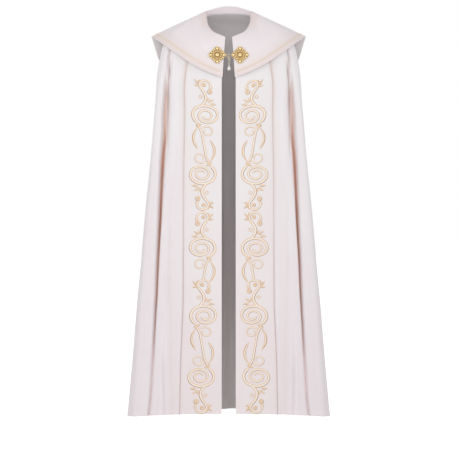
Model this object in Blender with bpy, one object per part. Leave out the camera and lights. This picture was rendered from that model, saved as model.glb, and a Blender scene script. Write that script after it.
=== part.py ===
"""Cope vestment: a hollow, worn cope with front orphreys, a wide cape collar, a clasp and a pendant.

Frame: metres, +Z up. The origin is the middle of the neck at the height of the back neck seam.
The front faces -Y. The garment hangs from the wearer's shoulders; the hem is its lowest edge.

Every cloth piece is a thin wall: a grid of points on a smooth surface, and the same grid moved in
by the cloth's thickness. Neighbouring pieces share their surface and stay SEAM_GAP apart.
"""

import math

import bpy
import numpy as np

# Driving dimensions, in metres ---------------------------------------------------------------

CLOTH = 0.0016              # body cloth with its lining
ORPHREY_CLOTH = 0.0018      # interfaced band
COLLAR_CLOTH = 0.0022       # interfaced collar, two layers
BRAID_CLOTH = 0.0010        # galloon
SEAM_GAP = 0.0003

FRONT_EDGE_X = 0.0254       # half of the open gap down the front
SIDE_SEAM_SHIFT = 0.030     # side seam lies this far behind the widest line
SEAM_DIP = 0.0055           # the cloth dips at the orphrey's outer seam
SEAM_DIP_BODY = 0.016
SEAM_DIP_BAND = 0.004

GALLOON_INSET = 0.0165      # collar edge to the galloon's outer edge
GALLOON_WIDTH = 0.0055
ROLL_RADIUS = 0.0042        # the collar's turn over its stand
STAND_LIFT = 0.0008         # from the top edge of the body cloth to the foot of the stand

# The body cloth, a row for each level: the ring's half width and its side, front and back
# heights and depths, the orphrey's outer seam, how square the ring's front and back halves are
# (2 is an ellipse), and how early its height leaves the side's (a low number is early).
BODY_COLUMNS = ("side_x", "side_y", "side_z", "front_y", "front_z", "back_y", "back_z",
                "seam_x", "front_square", "back_square", "tilt")
BODY_LEVELS = (
    # neckline
    (0.080, 0.004, -0.016, -0.098, -0.117, 0.074, 0.000, 0.064, 2.0, 2.0, 1.0),
    # on the shoulder
    (0.142, 0.004, -0.037, -0.124, -0.158, 0.110, -0.044, 0.104, 2.1, 2.0, 1.2),
    # shoulder tip
    (0.200, 0.004, -0.063, -0.141, -0.200, 0.130, -0.105, 0.138, 2.3, 2.0, 1.4),
    # top of the arm
    (0.238, 0.004, -0.110, -0.147, -0.240, 0.142, -0.170, 0.151, 2.4, 2.05, 1.6),
    # below the collar
    (0.256, 0.004, -0.178, -0.1495, -0.286, 0.152, -0.250, 0.1585, 2.5, 2.2, 1.8),
    # chest
    (0.272, 0.006, -0.359, -0.153, -0.400, 0.168, -0.410, 0.1595, 2.6, 2.4, 2.0),
    # waist
    (0.289, 0.010, -0.548, -0.158, -0.565, 0.190, -0.580, 0.1625, 2.6, 2.6, 2.0),
    # hip
    (0.309, 0.014, -0.744, -0.164, -0.748, 0.217, -0.762, 0.1635, 2.6, 2.6, 2.0),
    # thigh
    (0.325, 0.018, -0.918, -0.170, -0.914, 0.243, -0.930, 0.1635, 2.6, 2.6, 2.0),
    # knee
    (0.3412, 0.022, -1.077, -0.177, -1.066, 0.268, -1.086, 0.1643, 2.6, 2.6, 2.0),
    # calf
    (0.3576, 0.026, -1.288, -0.186, -1.272, 0.300, -1.290, 0.1725, 2.6, 2.6, 2.0),
    # hem
    (0.3757, 0.030, -1.493, -0.196, -1.471, 0.332, -1.493, 0.1765, 2.6, 2.6, 2.0),
)
LEVEL_CELLS = (1, 1, 1, 1, 2, 2, 2, 2, 2, 2, 2)

# The deep fold in front of each arm, a row for each height below the neck: its place as a
# fraction of the ring's half width, its depth, and its width towards the centre and away from it.
ARM_FOLD_COLUMNS = ("below", "place", "depth", "near", "far")
ARM_FOLD = (
    (0.18, 0.885, 0.003, 0.012, 0.015),
    (0.28, 0.868, 0.020, 0.012, 0.015),
    (0.37, 0.856, 0.034, 0.012, 0.015),
    (0.55, 0.827, 0.041, 0.011, 0.016),
    (0.75, 0.797, 0.045, 0.009, 0.015),
    (0.92, 0.788, 0.038, 0.009, 0.014),
    (1.06, 0.776, 0.032, 0.009, 0.014),
    (1.17, 0.777, 0.029, 0.009, 0.014),
    (1.32, 0.784, 0.022, 0.010, 0.014),
    (1.60, 0.795, 0.020, 0.010, 0.014),
)

# The other folds, a row for each. A place is a fraction of the ring's half width, seen from the
# face named; a front fold is on both sides, a back fold only where its sign says. Depth is
# inwards, so a negative depth is a ridge. "From" and "to" are heights below the neck.
FOLD_COLUMNS = ("face", "place_from", "place_to", "depth_from", "depth_to", "width", "start", "end")
FOLDS = (
    ("front", 0.888, 0.808, 0.018, 0.009, 0.010, -0.02, 0.56),
    ("front", 0.950, 0.905, -0.010, -0.012, 0.034, 0.16, 1.60),
    ("front", 0.750, 0.600, 0.007, 0.010, 0.017, 0.50, 1.60),
    ("front", 0.700, 0.655, 0.008, 0.010, 0.013, 1.16, 1.60),
    ("back", -0.930, -0.945, 0.020, 0.046, 0.026, 0.30, 1.60),
    ("back", -0.700, -0.745, 0.024, 0.060, 0.028, 0.42, 1.60),
    ("back", -0.480, -0.525, 0.022, 0.052, 0.025, 0.50, 1.60),
    ("back", -0.255, -0.285, 0.026, 0.064, 0.029, 0.46, 1.60),
    ("back", -0.050, -0.060, 0.018, 0.048, 0.025, 0.58, 1.60),
    ("back", 0.170, 0.185, 0.026, 0.066, 0.029, 0.44, 1.60),
    ("back", 0.390, 0.430, 0.020, 0.050, 0.025, 0.55, 1.60),
    ("back", 0.620, 0.670, 0.026, 0.062, 0.028, 0.40, 1.60),
    ("back", 0.850, 0.890, 0.022, 0.050, 0.026, 0.32, 1.60),
)
FOLD_FADE = 0.22            # height over which a fold grows to its first depth
ARM_FOLD_FAR = (-2.0, -1.0, -0.45)      # grid columns beside the arm fold, in its widths
ARM_FOLD_NEAR = (0.5, 1.1, 2.0)
ARM_FOLD_FAR_ROOM = 4.0     # the fold's far width is at most this share of the cloth beyond it
ARM_FOLD_NEAR_ROOM = 6.0
FRONT_CELLS = (4, 1, 1, 1, 1, 1, 1, 3, 1)       # columns between those stops
ORPHREY_CELLS = (1, 4)
BACK_FROM_FOLD = (0.24, 0.52, 1.0)      # columns from a back fold's line to the swell beside it
BACK_TO_FOLD = (0.48, 0.76, 1.0)        # and from the swell to the next line

# The collar, a row for each section from the centre back round to its front edge: the top of the
# roll, the point that the fall bends towards, and the lower edge.
COLLAR_COLUMNS = ("roll_x", "roll_y", "roll_z", "bend_x", "bend_y", "bend_z",
                  "edge_x", "edge_y", "edge_z")
COLLAR_SECTIONS = (
    # centre back
    (0.000, 0.084, 0.028, 0.000, 0.139, -0.042, 0.000, 0.180, -0.395),
    (0.030, 0.079, 0.0255, 0.065, 0.140, -0.040, 0.086, 0.173, -0.370),
    (0.058, 0.061, 0.017, 0.130, 0.122, -0.036, 0.172, 0.150, -0.300),
    (0.081, 0.034, 0.007, 0.190, 0.074, -0.046, 0.251, 0.092, -0.193),
    # shoulder corner
    (0.0895, 0.004, 0.000, 0.203, 0.008, -0.0495, 0.2865, 0.014, -0.0890),
    (0.0870, -0.022, -0.022, 0.192, -0.045, -0.054, 0.2470, -0.060, -0.1198),
    (0.0780, -0.054, -0.054, 0.152, -0.098, -0.088, 0.1931, -0.112, -0.1609),
    (0.0560, -0.083, -0.082, 0.100, -0.126, -0.118, 0.1294, -0.143, -0.2049),
    (0.0340, -0.098, -0.093, 0.056, -0.138, -0.136, 0.0740, -0.153, -0.2335),
    # front edge
    (0.0125, -0.108, -0.104, 0.0165, -0.139, -0.150, 0.0225, -0.155, -0.2525),
)
COLLAR_CORNER = 4           # the row where the lower edge turns
COLLAR_CELLS = (4, 4, 4, 4, 4, 4, 3, 3, 3)
COLLAR_FALL_CELLS = 6
COLLAR_ROLL_STEPS = 3

# The clasp: plates on the collar, a hook and an eye between them, a short chain and a drop.
PLATE_X = 0.0415
PLATE_Z = -0.1705
PLATE_REACH = 0.0316        # centre to the tip of a side lobe
PLATE_TALL = 1.045          # the plate's height over its width
PLATE_BODY = 0.80           # the round body between the lobes, as a fraction of the reach
PLATE_MARGIN = 0.012        # collar points this far past the reach also carry the plate
PLATE_THICK = 0.0016
PLATE_SIDES = 48
PLATE_RINGS = (0.10, 0.20, 0.29, 0.36, 0.50, 0.64, 0.78, 0.90, 0.96)
BOSS_REACH = 0.29           # the boss and the band round it, as fractions of the reach
BOSS_HEIGHT = 0.0042
BAND_REACH = 0.50
BAND_SPREAD = 0.06
BAND_HEIGHT = 0.0022
LOBE_PLACE = 0.66           # a lobe's middle, its outline's radius and its dome's spread
LOBE_RADIUS = 0.34
LOBE_SPREAD = 0.17
LOBE_HEIGHT = 0.0024
RIM_HEIGHT = 0.0009
RIM_REACH = 0.93            # the rim's middle, as a fraction of the outline
RIM_SPREAD = 0.05

WIRE = 0.0008               # half the thickness of the eye's, the hook's and the ring's wire
SMALL_WIRE = 0.0006         # the same for the chain's small links
EYE_RADIUS = 0.0060
EYE_X = 0.0010
EYE_Z = -0.1736
EYE_GAP = (-20.0, -325.0)   # degrees between which the eye's wire goes round
HOOK_BEND = (-90.0, 60.0)   # degrees between which the hook goes round the eye's wire
RING_RADIUS = 0.0046
LINK_RADIUS = 0.0031
BAIL_RADIUS = 0.0022
LINKS = 3
RING_YAW = 50.0
DROP_RADIUS = 0.0068
DROP_HEIGHT = 0.0165
DROP_SWELL = 0.16           # how much fuller the drop is below its middle
CAP_RADIUS = 0.0056
CAP_HEIGHT = 0.0062
CAP_PROFILE = ((0.0016, 0.0), (0.0026, 0.0012), (0.0040, 0.0024), (CAP_RADIUS, 0.0044),
               (CAP_RADIUS, CAP_HEIGHT))        # radius, and distance below the cap's top
RING_STEPS = 16
WIRE_SIDES = 6
TURN_STEPS = 16

RING_SAMPLES = 801          # points on a ring when its length is measured
NORMAL_STEP = 0.0010


# Tables ---------------------------------------------------------------------------------------

def columns_of(names, rows):
    """Turns a table's rows into one array for each named column."""
    return {name: np.array([row[i] for row in rows]) for i, name in enumerate(names)}


def slopes_of(knots, values):
    """The slope at each row: that of the line through its two neighbours."""
    return np.gradient(values, knots)


def smooth_between(knots, values, slopes, at):
    """Cubic between two rows that meets both rows' values and slopes."""
    i = np.clip(np.searchsorted(knots, at, side="right") - 1, 0, len(knots) - 2)
    span = knots[i + 1] - knots[i]
    t = (at - knots[i]) / span
    start = (1 + 2 * t) * (1 - t) ** 2 * values[i] + t * (1 - t) ** 2 * span * slopes[i]
    end = t ** 2 * (3 - 2 * t) * values[i + 1] - t ** 2 * (1 - t) * span * slopes[i + 1]
    return start + end


def smooth_step(t):
    """0 to 1 with level ends."""
    t = np.clip(t, 0.0, 1.0)
    return t * t * (3 - 2 * t)


BODY = columns_of(BODY_COLUMNS, BODY_LEVELS)
ARM = columns_of(ARM_FOLD_COLUMNS, ARM_FOLD)
SIDE_STEPS = np.hypot(np.diff(BODY["side_x"]), np.diff(BODY["side_z"]))
BODY_DOWN = np.concatenate(([0.0], np.cumsum(SIDE_STEPS)))


def body_level(name, down):
    """A column of the body's table at a distance down the side."""
    return smooth_between(BODY_DOWN, BODY[name], slopes_of(BODY_DOWN, BODY[name]), down)


# The body cloth's surface ---------------------------------------------------------------------

def ring_point(turn, down):
    """Point on the plain ring: a superellipse whose front and back halves have their own depth.

    turn runs from 0 at the centre back to 0.5 at the side and 1 at the centre front, and is
    negative on the other half. The height goes from the side's to the front's or back's with
    the cosine's power in the table's last column."""
    angle = np.abs(turn) * math.pi
    sine = np.abs(np.sin(angle))
    cosine = np.cos(angle)
    front = cosine < 0
    power = 2.0 / np.where(front, body_level("front_square", down),
                           body_level("back_square", down))
    depth = np.where(front, body_level("front_y", down), body_level("back_y", down))
    height = np.where(front, body_level("front_z", down), body_level("back_z", down))
    side_y = body_level("side_y", down)
    side_z = body_level("side_z", down)
    x = np.sign(turn) * body_level("side_x", down) * sine ** power
    y = side_y + (depth - side_y) * np.abs(cosine) ** power
    z = side_z + (height - side_z) * np.abs(cosine) ** body_level("tilt", down)
    return np.stack(np.broadcast_arrays(x, y, z), axis=-1)


def ring_lengths(down):
    """Cloth length from the centre back to each of RING_SAMPLES turns, for each level."""
    turns = np.linspace(-1.0, 1.0, RING_SAMPLES)
    points = ring_point(turns[None, :], down)
    steps = np.linalg.norm(np.diff(points, axis=1), axis=2)
    lengths = np.concatenate((np.zeros((len(down), 1)), np.cumsum(steps, axis=1)), axis=1)
    middle = lengths[:, RING_SAMPLES // 2][:, None]
    return lengths - middle


def turn_at_width(face, place, down):
    """The turn where the ring is at a fraction of its half width, on the front or the back."""
    power = body_level(face + "_square", down) / 2.0
    turn = np.arcsin(np.abs(place) ** power) / math.pi
    if face == "front":
        turn = 1.0 - turn
    return np.sign(place) * turn


def length_at_turn(turn, down):
    """Cloth length from the centre back to a turn, read from the measured ring."""
    lengths = ring_lengths(down)
    place = (turn + 1.0) / 2.0 * (RING_SAMPLES - 1)
    low = np.clip(np.floor(place).astype(int), 0, RING_SAMPLES - 2)
    part = place - low
    near = np.take_along_axis(lengths, low, axis=1)
    far = np.take_along_axis(lengths, low + 1, axis=1)
    return near + (far - near) * part


def turn_at_length(length, down):
    """The turn at a cloth length from the centre back: the inverse of length_at_turn."""
    lengths = ring_lengths(down)
    turns = np.linspace(-1.0, 1.0, RING_SAMPLES)
    rows = [np.interp(length[i], lengths[i], turns) for i in range(len(down))]
    return np.array(rows)


def signed_folds():
    """Every fold with its sides written out: a front fold becomes one on each side."""
    folds = []
    for row in FOLDS:
        fold = dict(zip(FOLD_COLUMNS, row))
        if fold["face"] == "front":
            mirrored = dict(fold, place_from=-fold["place_from"], place_to=-fold["place_to"])
            folds.append(mirrored)
        folds.append(fold)
    return folds


def fold_length(fold, down):
    """Where a fold's line lies, as cloth length from the centre back."""
    below = -body_level("side_z", down)
    part = np.clip((below - fold["start"]) / (fold["end"] - fold["start"]), 0.0, 1.0)
    place = fold["place_from"] + (fold["place_to"] - fold["place_from"]) * part
    return length_at_turn(turn_at_width(fold["face"], place, down), down)


def fold_depth(fold, down):
    """A fold's depth at each level: it grows in over FOLD_FADE and, if it ends, fades out."""
    below = -body_level("side_z", down)
    part = np.clip((below - fold["start"]) / (fold["end"] - fold["start"]), 0.0, 1.0)
    depth = fold["depth_from"] + (fold["depth_to"] - fold["depth_from"]) * part
    grow = smooth_step((below - fold["start"]) / FOLD_FADE)
    fade = smooth_step((fold["end"] - below) / (FOLD_FADE / 2))
    return depth * grow * fade


def seam_length(down):
    """Cloth length from the centre back to the orphrey's outer seam."""
    place = body_level("seam_x", down) / body_level("side_x", down)
    return length_at_turn(turn_at_width("front", place, down), down)


def front_edge_length(down):
    """Cloth length from the centre back to the front edge."""
    place = FRONT_EDGE_X / body_level("side_x", down)
    return length_at_turn(turn_at_width("front", place, down), down)


def side_seam_length(down):
    """Cloth length from the centre back to the side seam."""
    shift = SIDE_SEAM_SHIFT * body_level("side_x", down) / BODY["side_x"][-1]
    return length_at_turn(0.5 + 0.0 * down, down) - shift


def arm_fold(name, down):
    """A column of the arm fold's table at each level."""
    below = np.clip(-body_level("side_z", down), ARM["below"][0], ARM["below"][-1])
    return smooth_between(ARM["below"], ARM[name], slopes_of(ARM["below"], ARM[name]), below)


def arm_fold_length(down):
    """Where the arm fold's line lies on the right side, as cloth length from the centre back."""
    return length_at_turn(turn_at_width("front", arm_fold("place", down), down), down)


def arm_shift(length, down):
    """How far the cloth goes straight back in the arm fold: a bell with two widths."""
    inside = np.abs(length) - arm_fold_length(down)
    width = np.where(inside > 0, arm_fold("near", down), arm_fold("far", down))
    return arm_fold("depth", down) * np.exp(-(np.abs(inside) / width) ** 1.5)


def fold_shift(length, down):
    """How far the cloth lies inside the plain ring: the other folds' sharp-bottomed bells, and a
    dip at the orphrey's seam that is steep on the band and slow on the body."""
    shift = np.zeros_like(length)
    for fold in signed_folds():
        away = np.abs(length - fold_length(fold, down)) / fold["width"]
        shift += fold_depth(fold, down) * np.exp(-away ** 1.5)
    from_seam = np.abs(length) - seam_length(down)
    dip = np.where(from_seam > 0, SEAM_DIP_BAND, SEAM_DIP_BODY)
    shift += SEAM_DIP * np.exp(-np.abs(from_seam) / dip) * smooth_step(down / BODY_DOWN[4])
    return shift


def body_point(length, down):
    """Point on the cloth's outer face: the plain ring, moved in level along the ring's normal,
    and straight back in the arm fold."""
    turn = turn_at_length(length, down)
    point = ring_point(turn, down)
    ahead = ring_point(np.clip(turn + NORMAL_STEP, -1, 1), down)
    behind = ring_point(np.clip(turn - NORMAL_STEP, -1, 1), down)
    along = ahead - behind
    outward = np.stack((-along[..., 1], along[..., 0], np.zeros_like(turn)), axis=-1)
    outward /= np.linalg.norm(outward, axis=-1, keepdims=True)
    back = arm_shift(length, down)[..., None] * np.array([0.0, 1.0, 0.0])
    return point - outward * fold_shift(length, down)[..., None] + back


def body_grid(length, down):
    """Outer points and unit normals of the cloth at a grid of lengths and levels."""
    point = body_point(length, down)
    across = body_point(length + NORMAL_STEP, down) - body_point(length - NORMAL_STEP, down)
    low = np.clip(down - NORMAL_STEP, 0.0, None)
    high = np.clip(down + NORMAL_STEP, None, BODY_DOWN[-1])
    fraction = length / front_edge_length(down)
    upper = body_point(fraction * front_edge_length(low), low)
    lower = body_point(fraction * front_edge_length(high), high)
    normal = np.cross(across, lower - upper)
    normal /= np.linalg.norm(normal, axis=-1, keepdims=True)
    return point, normal


# Meshes ---------------------------------------------------------------------------------------

def wall_faces(rows, cols):
    """Triangles of a closed wall: outer grid, inner grid turned over, and the four edges."""
    def strip(a, b, c, d):
        return np.concatenate((np.stack((a, b, c), 1), np.stack((a, c, d), 1)))

    outer = np.arange(rows * cols).reshape(rows, cols)
    inner = outer + rows * cols

    def corners(grid):
        return [grid[:-1, :-1].ravel(), grid[1:, :-1].ravel(), grid[1:, 1:].ravel(),
                grid[:-1, 1:].ravel()]

    a, b, c, d = corners(outer)
    faces = [strip(a, b, c, d)]
    a, b, c, d = corners(inner)
    faces.append(strip(a, b, c, d)[:, ::-1])
    border = np.concatenate((outer[0, :-1], outer[:-1, -1], outer[-1, :0:-1], outer[:0:-1, 0]))
    after = np.roll(border, -1)
    faces.append(strip(border, after, after + rows * cols, border + rows * cols))
    return np.concatenate(faces)


def make_object(name, points, faces, material, smooth_angle=50.0):
    """One closed mesh object at the origin, shaded smooth up to an angle."""
    mesh = bpy.data.meshes.new(name)
    mesh.from_pydata([tuple(p) for p in points], [], [tuple(int(i) for i in f) for f in faces])
    mesh.materials.append(material)
    mesh.shade_smooth()
    mesh.set_sharp_from_angle(angle=math.radians(smooth_angle))
    mesh.validate()
    piece = bpy.data.objects.new(name, mesh)
    bpy.context.scene.collection.objects.link(piece)
    return piece


def make_wall(name, outer, inner, material):
    """A closed wall between two grids of the same size. Rows run down and columns to the right,
    seen from outside, so the outer grid faces out."""
    rows, cols = outer.shape[:2]
    points = np.concatenate((outer.reshape(-1, 3), inner.reshape(-1, 3)))
    return make_object(name, points, wall_faces(rows, cols), material)


def make_material(name, colour, roughness, metallic=0.0):
    """A Principled material."""
    material = bpy.data.materials.new(name)
    material.use_nodes = True
    shader = material.node_tree.nodes["Principled BSDF"]
    shader.inputs["Base Color"].default_value = (*colour, 1.0)
    shader.inputs["Roughness"].default_value = roughness
    shader.inputs["Metallic"].default_value = metallic
    return material


# Body pieces ----------------------------------------------------------------------------------

def level_rows():
    """Distances down the side of the grid's rows, evenly between the table's levels."""
    rows = [0.0]
    for i, cells in enumerate(LEVEL_CELLS):
        rows.extend(np.linspace(BODY_DOWN[i], BODY_DOWN[i + 1], cells + 1)[1:])
    return np.array(rows)[:, None]


def spread(stops, cells):
    """Column places between stops, each an array down the levels, evenly within a span."""
    columns = [stops[0]]
    for start, end, count in zip(stops[:-1], stops[1:], cells):
        for k in range(1, count + 1):
            columns.append(start + (end - start) * k / count)
    return np.concatenate(columns, axis=1)


def cloth_wall(name, length, thick, material):
    """A wall on the body's surface. Lengths fall along a row, which is rightwards seen from
    outside."""
    down = level_rows()
    point, normal = body_grid(length, down)
    return make_wall(name, point, point - normal * thick, material)


def make_orphrey(name, side, material):
    """The straight band from the front edge to its seam."""
    down = level_rows()
    seam = seam_length(down) + SEAM_GAP / 2
    edge = front_edge_length(down)
    stops = [seam, seam + SEAM_DIP_BAND * 2, edge]
    length = spread(stops, ORPHREY_CELLS) * side
    cloth_wall(name, length if side < 0 else length[:, ::-1], ORPHREY_CLOTH, material)


def make_front(name, side, material):
    """The side front from the side seam to the orphrey, with columns on its folds."""
    down = level_rows()
    start = side_seam_length(down) + SEAM_GAP / 2
    end = seam_length(down) - SEAM_GAP / 2
    deep = arm_fold_length(down)
    out = np.minimum(arm_fold("far", down), (deep - start) / ARM_FOLD_FAR_ROOM)
    back = np.minimum(arm_fold("near", down), (end - deep) / ARM_FOLD_NEAR_ROOM)
    stops = [start] + [deep + out * stop for stop in ARM_FOLD_FAR] + [deep]
    stops += [deep + back * stop for stop in ARM_FOLD_NEAR] + [end - back, end]
    length = spread(stops, FRONT_CELLS) * side
    cloth_wall(name, length if side < 0 else length[:, ::-1], CLOTH, material)


def make_back(material):
    """The back panel from side seam to side seam, with columns on and between its folds."""
    down = level_rows()
    edge = side_seam_length(down) - SEAM_GAP / 2
    folds = [fold for fold in signed_folds() if fold["face"] == "back"]
    lines = [fold_length(fold, down) for fold in folds]
    stops = [-edge]
    for i, line in enumerate(lines):
        stops.append(line)
        if i + 1 < len(lines):
            stops.append((line + lines[i + 1]) / 2)
    stops.append(edge)
    columns = [stops[0]]
    on_line = [False] + [i % 2 == 0 for i in range(len(stops) - 2)] + [False]
    for i in range(len(stops) - 1):
        for part in BACK_FROM_FOLD if on_line[i] else BACK_TO_FOLD:
            columns.append(stops[i] + (stops[i + 1] - stops[i]) * part)
    length = np.concatenate(columns, axis=1)[:, ::-1]
    cloth_wall("back_panel", length, CLOTH, material)


# Collar ---------------------------------------------------------------------------------------

COLLAR = columns_of(COLLAR_COLUMNS, COLLAR_SECTIONS)
ROLL_STEPS = np.sqrt(sum(np.diff(COLLAR["roll_" + axis]) ** 2 for axis in "xyz"))
COLLAR_ROUND = np.concatenate(([0.0], np.cumsum(ROLL_STEPS)))
COLLAR_ROUND /= COLLAR_ROUND[-1]


def collar_column(name, around):
    """A column of the collar's table. The lower edge turns sharply at the shoulder corner, and
    the centre back is level across, because the two halves mirror each other."""
    knots = COLLAR_ROUND
    values = COLLAR[name]
    slopes = slopes_of(knots, values)
    if not name.endswith("_x"):
        slopes[0] = 0.0
    if not name.startswith("edge"):
        return smooth_between(knots, values, slopes, around)
    k = COLLAR_CORNER
    back_slopes = np.append(slopes[:k], (values[k] - values[k - 1]) / (knots[k] - knots[k - 1]))
    front_slopes = slopes_of(knots[k:], values[k:])
    back = smooth_between(knots[:k + 1], values[:k + 1], back_slopes, around)
    front = smooth_between(knots[k:], values[k:], front_slopes, around)
    return np.where(around < knots[k], back, front)


def collar_trio(prefix, around):
    """A point of the collar's table, mirrored to the sign of around."""
    x, y, z = (collar_column(prefix + axis, np.abs(around)) for axis in ("_x", "_y", "_z"))
    return np.stack((x * np.sign(around), y, z), axis=-1)


def collar_fall(around, down):
    """Point on the fall: a curve from the roll's top to the lower edge that bends towards the
    table's middle point. down is 0 at the roll and 1 at the edge."""
    roll = collar_trio("roll", around)
    bend = collar_trio("bend", around)
    edge = collar_trio("edge", around)
    t = down[..., None]
    return (1 - t) ** 2 * roll + 2 * t * (1 - t) * bend + t ** 2 * edge


def collar_frame(around):
    """At the roll's top: the level direction outwards, and the fall's slope angle."""
    ahead = collar_trio("bend", around) - collar_trio("roll", around)
    level = ahead * np.array([1.0, 1.0, 0.0])
    run = np.linalg.norm(level, axis=-1, keepdims=True)
    slope = np.arctan2(-ahead[..., 2:], run)
    return level / run, slope


def collar_roll(around, part):
    """Point on the roll: an arc from its inner foot (part 0) over to the fall's start (1)."""
    outward, slope = collar_frame(around)
    up = np.array([0.0, 0.0, 1.0])
    top = outward * np.sin(slope) + up * np.cos(slope)
    centre = collar_trio("roll", around) - ROLL_RADIUS * top
    angle = math.pi + (math.pi / 2 - slope - math.pi) * part[..., None]
    return centre + ROLL_RADIUS * (outward * np.cos(angle) + up * np.sin(angle))


def galloon_down(around, inset):
    """How far down the fall a line parallel to the lower edge lies: its distance from the edge,
    over the sine of the angle between edge and fall, and over the fall's last stretch."""
    step = 0.002
    side = np.where(np.abs(around) < COLLAR_ROUND[COLLAR_CORNER], -1.0, 1.0)
    here = collar_trio("edge", around)
    beside = collar_trio("edge", around + side * step * np.sign(around + 1e-9))
    tangent = beside - here
    tangent /= np.linalg.norm(tangent, axis=-1, keepdims=True)
    above = collar_fall(around, np.full(around.shape, 0.9))
    rise = here - above
    run = np.linalg.norm(rise, axis=-1)
    cosine = np.abs(np.sum(rise / run[..., None] * tangent, axis=-1))
    sine = np.sqrt(1 - cosine ** 2)
    return 1 - 0.1 * inset / sine / run


def collar_around():
    """Places of the collar's columns, from the +X front edge round the back to the -X one."""
    half = [0.0]
    for i, cells in enumerate(COLLAR_CELLS):
        half.extend(np.linspace(COLLAR_ROUND[i], COLLAR_ROUND[i + 1], cells + 1)[1:])
    half = np.array(half)
    return np.concatenate((half[::-1], -half[1:]))


def collar_rows(around):
    """The fall's rows: even to the galloon's upper edge, then its two edges, then the hem."""
    upper = galloon_down(around, GALLOON_INSET + GALLOON_WIDTH)
    lower = galloon_down(around, GALLOON_INSET)
    rows = [upper * k / COLLAR_FALL_CELLS for k in range(COLLAR_FALL_CELLS + 1)]
    return np.stack(rows + [lower, np.ones_like(around)])


def collar_points():
    """The collar's outer grid: the roll's rows, then the fall's."""
    around = collar_around()
    parts = np.arange(COLLAR_ROLL_STEPS) / COLLAR_ROLL_STEPS
    roll = [collar_roll(around, np.full(around.shape, part)) for part in parts]
    fall = [collar_fall(around, row) for row in collar_rows(around)]
    return np.stack(roll + fall)


def grid_normals(grid):
    """Unit normals of a grid whose rows run down and whose columns run round to the right."""
    down = np.gradient(grid, axis=0)
    across = np.gradient(grid, axis=1)
    normal = np.cross(down, across)
    return normal / np.linalg.norm(normal, axis=-1, keepdims=True)


def make_collar(material):
    """The cape collar: one wall that rolls over the stand and falls to its lower edge."""
    outer = collar_points()
    normal = grid_normals(outer)
    make_wall("cape_collar", outer, outer - normal * COLLAR_CLOTH, material)
    return outer, normal


def make_galloon(outer, normal, material):
    """The braid on the collar, on the two grid rows that are its edges."""
    rows = slice(COLLAR_ROLL_STEPS + COLLAR_FALL_CELLS, COLLAR_ROLL_STEPS + COLLAR_FALL_CELLS + 2)
    under = outer[rows] + normal[rows] * SEAM_GAP
    over = under + normal[rows] * BRAID_CLOTH
    make_wall("collar_galloon", over, under, material)


def make_neckband(outer, normal, material):
    """The stand: a wall from just above the body's neckline to just under the roll's foot."""
    top = outer[0] - np.array([0.0, 0.0, SEAM_GAP])
    inner_top = top - normal[0] * COLLAR_CLOTH
    down = np.zeros((1, 1))
    around = collar_around()[None, :]
    foot = body_point(around * front_edge_length(down), down)[0]
    foot = foot + np.array([0.0, 0.0, STAND_LIFT])
    shift = inner_top - top
    shift[:, 2] = 0.0
    middle = (top + foot) / 2
    visible = np.stack((top, middle, foot))
    hidden = np.stack((inner_top, middle + shift, foot + shift))
    make_wall("neckband", hidden, visible, material)


# Clasp ----------------------------------------------------------------------------------------

def lobed_outline(angle):
    """The plate's outline as a radius: a round body, and a round lobe on each axis."""
    quarter = math.pi / 2
    away = (angle + quarter / 2) % quarter - quarter / 2
    room = LOBE_RADIUS ** 2 - (LOBE_PLACE * np.sin(away)) ** 2
    lobe = LOBE_PLACE * np.cos(away) + np.sqrt(np.clip(room, 0, None))
    return PLATE_REACH * np.maximum(np.where(room > 0, lobe, 0.0), PLATE_BODY)


def plate_relief(angle, part):
    """Height of the plate's face: a round boss, a band round it, four domed lobes and a rim."""
    radius = part * lobed_outline(angle) / PLATE_REACH
    boss = BOSS_HEIGHT * np.sqrt(np.clip(1 - (radius / BOSS_REACH) ** 2, 0, None))
    band = BAND_HEIGHT * np.exp(-((radius - BAND_REACH) / BAND_SPREAD) ** 2)
    lobes = 0.0
    for k in range(4):
        centre = k * math.pi / 2
        away_x = radius * np.cos(angle) - LOBE_PLACE * math.cos(centre)
        away_y = radius * np.sin(angle) - LOBE_PLACE * math.sin(centre)
        lobes = lobes + LOBE_HEIGHT * np.exp(-(away_x ** 2 + away_y ** 2) / LOBE_SPREAD ** 2)
    rim = RIM_HEIGHT * np.exp(-((part - RIM_REACH) / RIM_SPREAD) ** 2)
    return PLATE_THICK + boss + band + lobes + rim


def plate_points():
    """The plate lying in the XY plane with its face up: a centre and rings on the face, the
    edge's lower ring and a centre below. Also its triangles."""
    angle = np.arange(PLATE_SIDES) * 2 * math.pi / PLATE_SIDES
    reach = lobed_outline(angle)
    face = [(reach * part, plate_relief(angle, part)) for part in PLATE_RINGS]
    face.append((reach, np.full(PLATE_SIDES, PLATE_THICK * 0.6)))
    face.append((reach * 0.97, np.zeros(PLATE_SIDES)))
    rings = [np.stack((r * np.cos(angle), r * np.sin(angle) * PLATE_TALL, h), axis=-1)
             for r, h in face]
    top = np.array([[0.0, 0.0, float(plate_relief(0.0, 0.0))]])
    points = np.concatenate([top] + rings + [np.zeros((1, 3))])
    return points, fan_faces(len(rings), PLATE_SIDES)


def fan_faces(rings, sides):
    """Triangles of a closed solid made of rings between two end points, the first ring nearest
    the first point; the rings run counter-clockwise seen from that point."""
    faces = []
    last = 1 + rings * sides
    for k in range(sides):
        n = (k + 1) % sides
        faces.append((0, 1 + k, 1 + n))
        for i in range(rings - 1):
            a, b = 1 + i * sides + k, 1 + i * sides + n
            faces.append((a, a + sides, b + sides))
            faces.append((a, b + sides, b))
        faces.append((last, last - sides + n, last - sides + k))
    return faces


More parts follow.
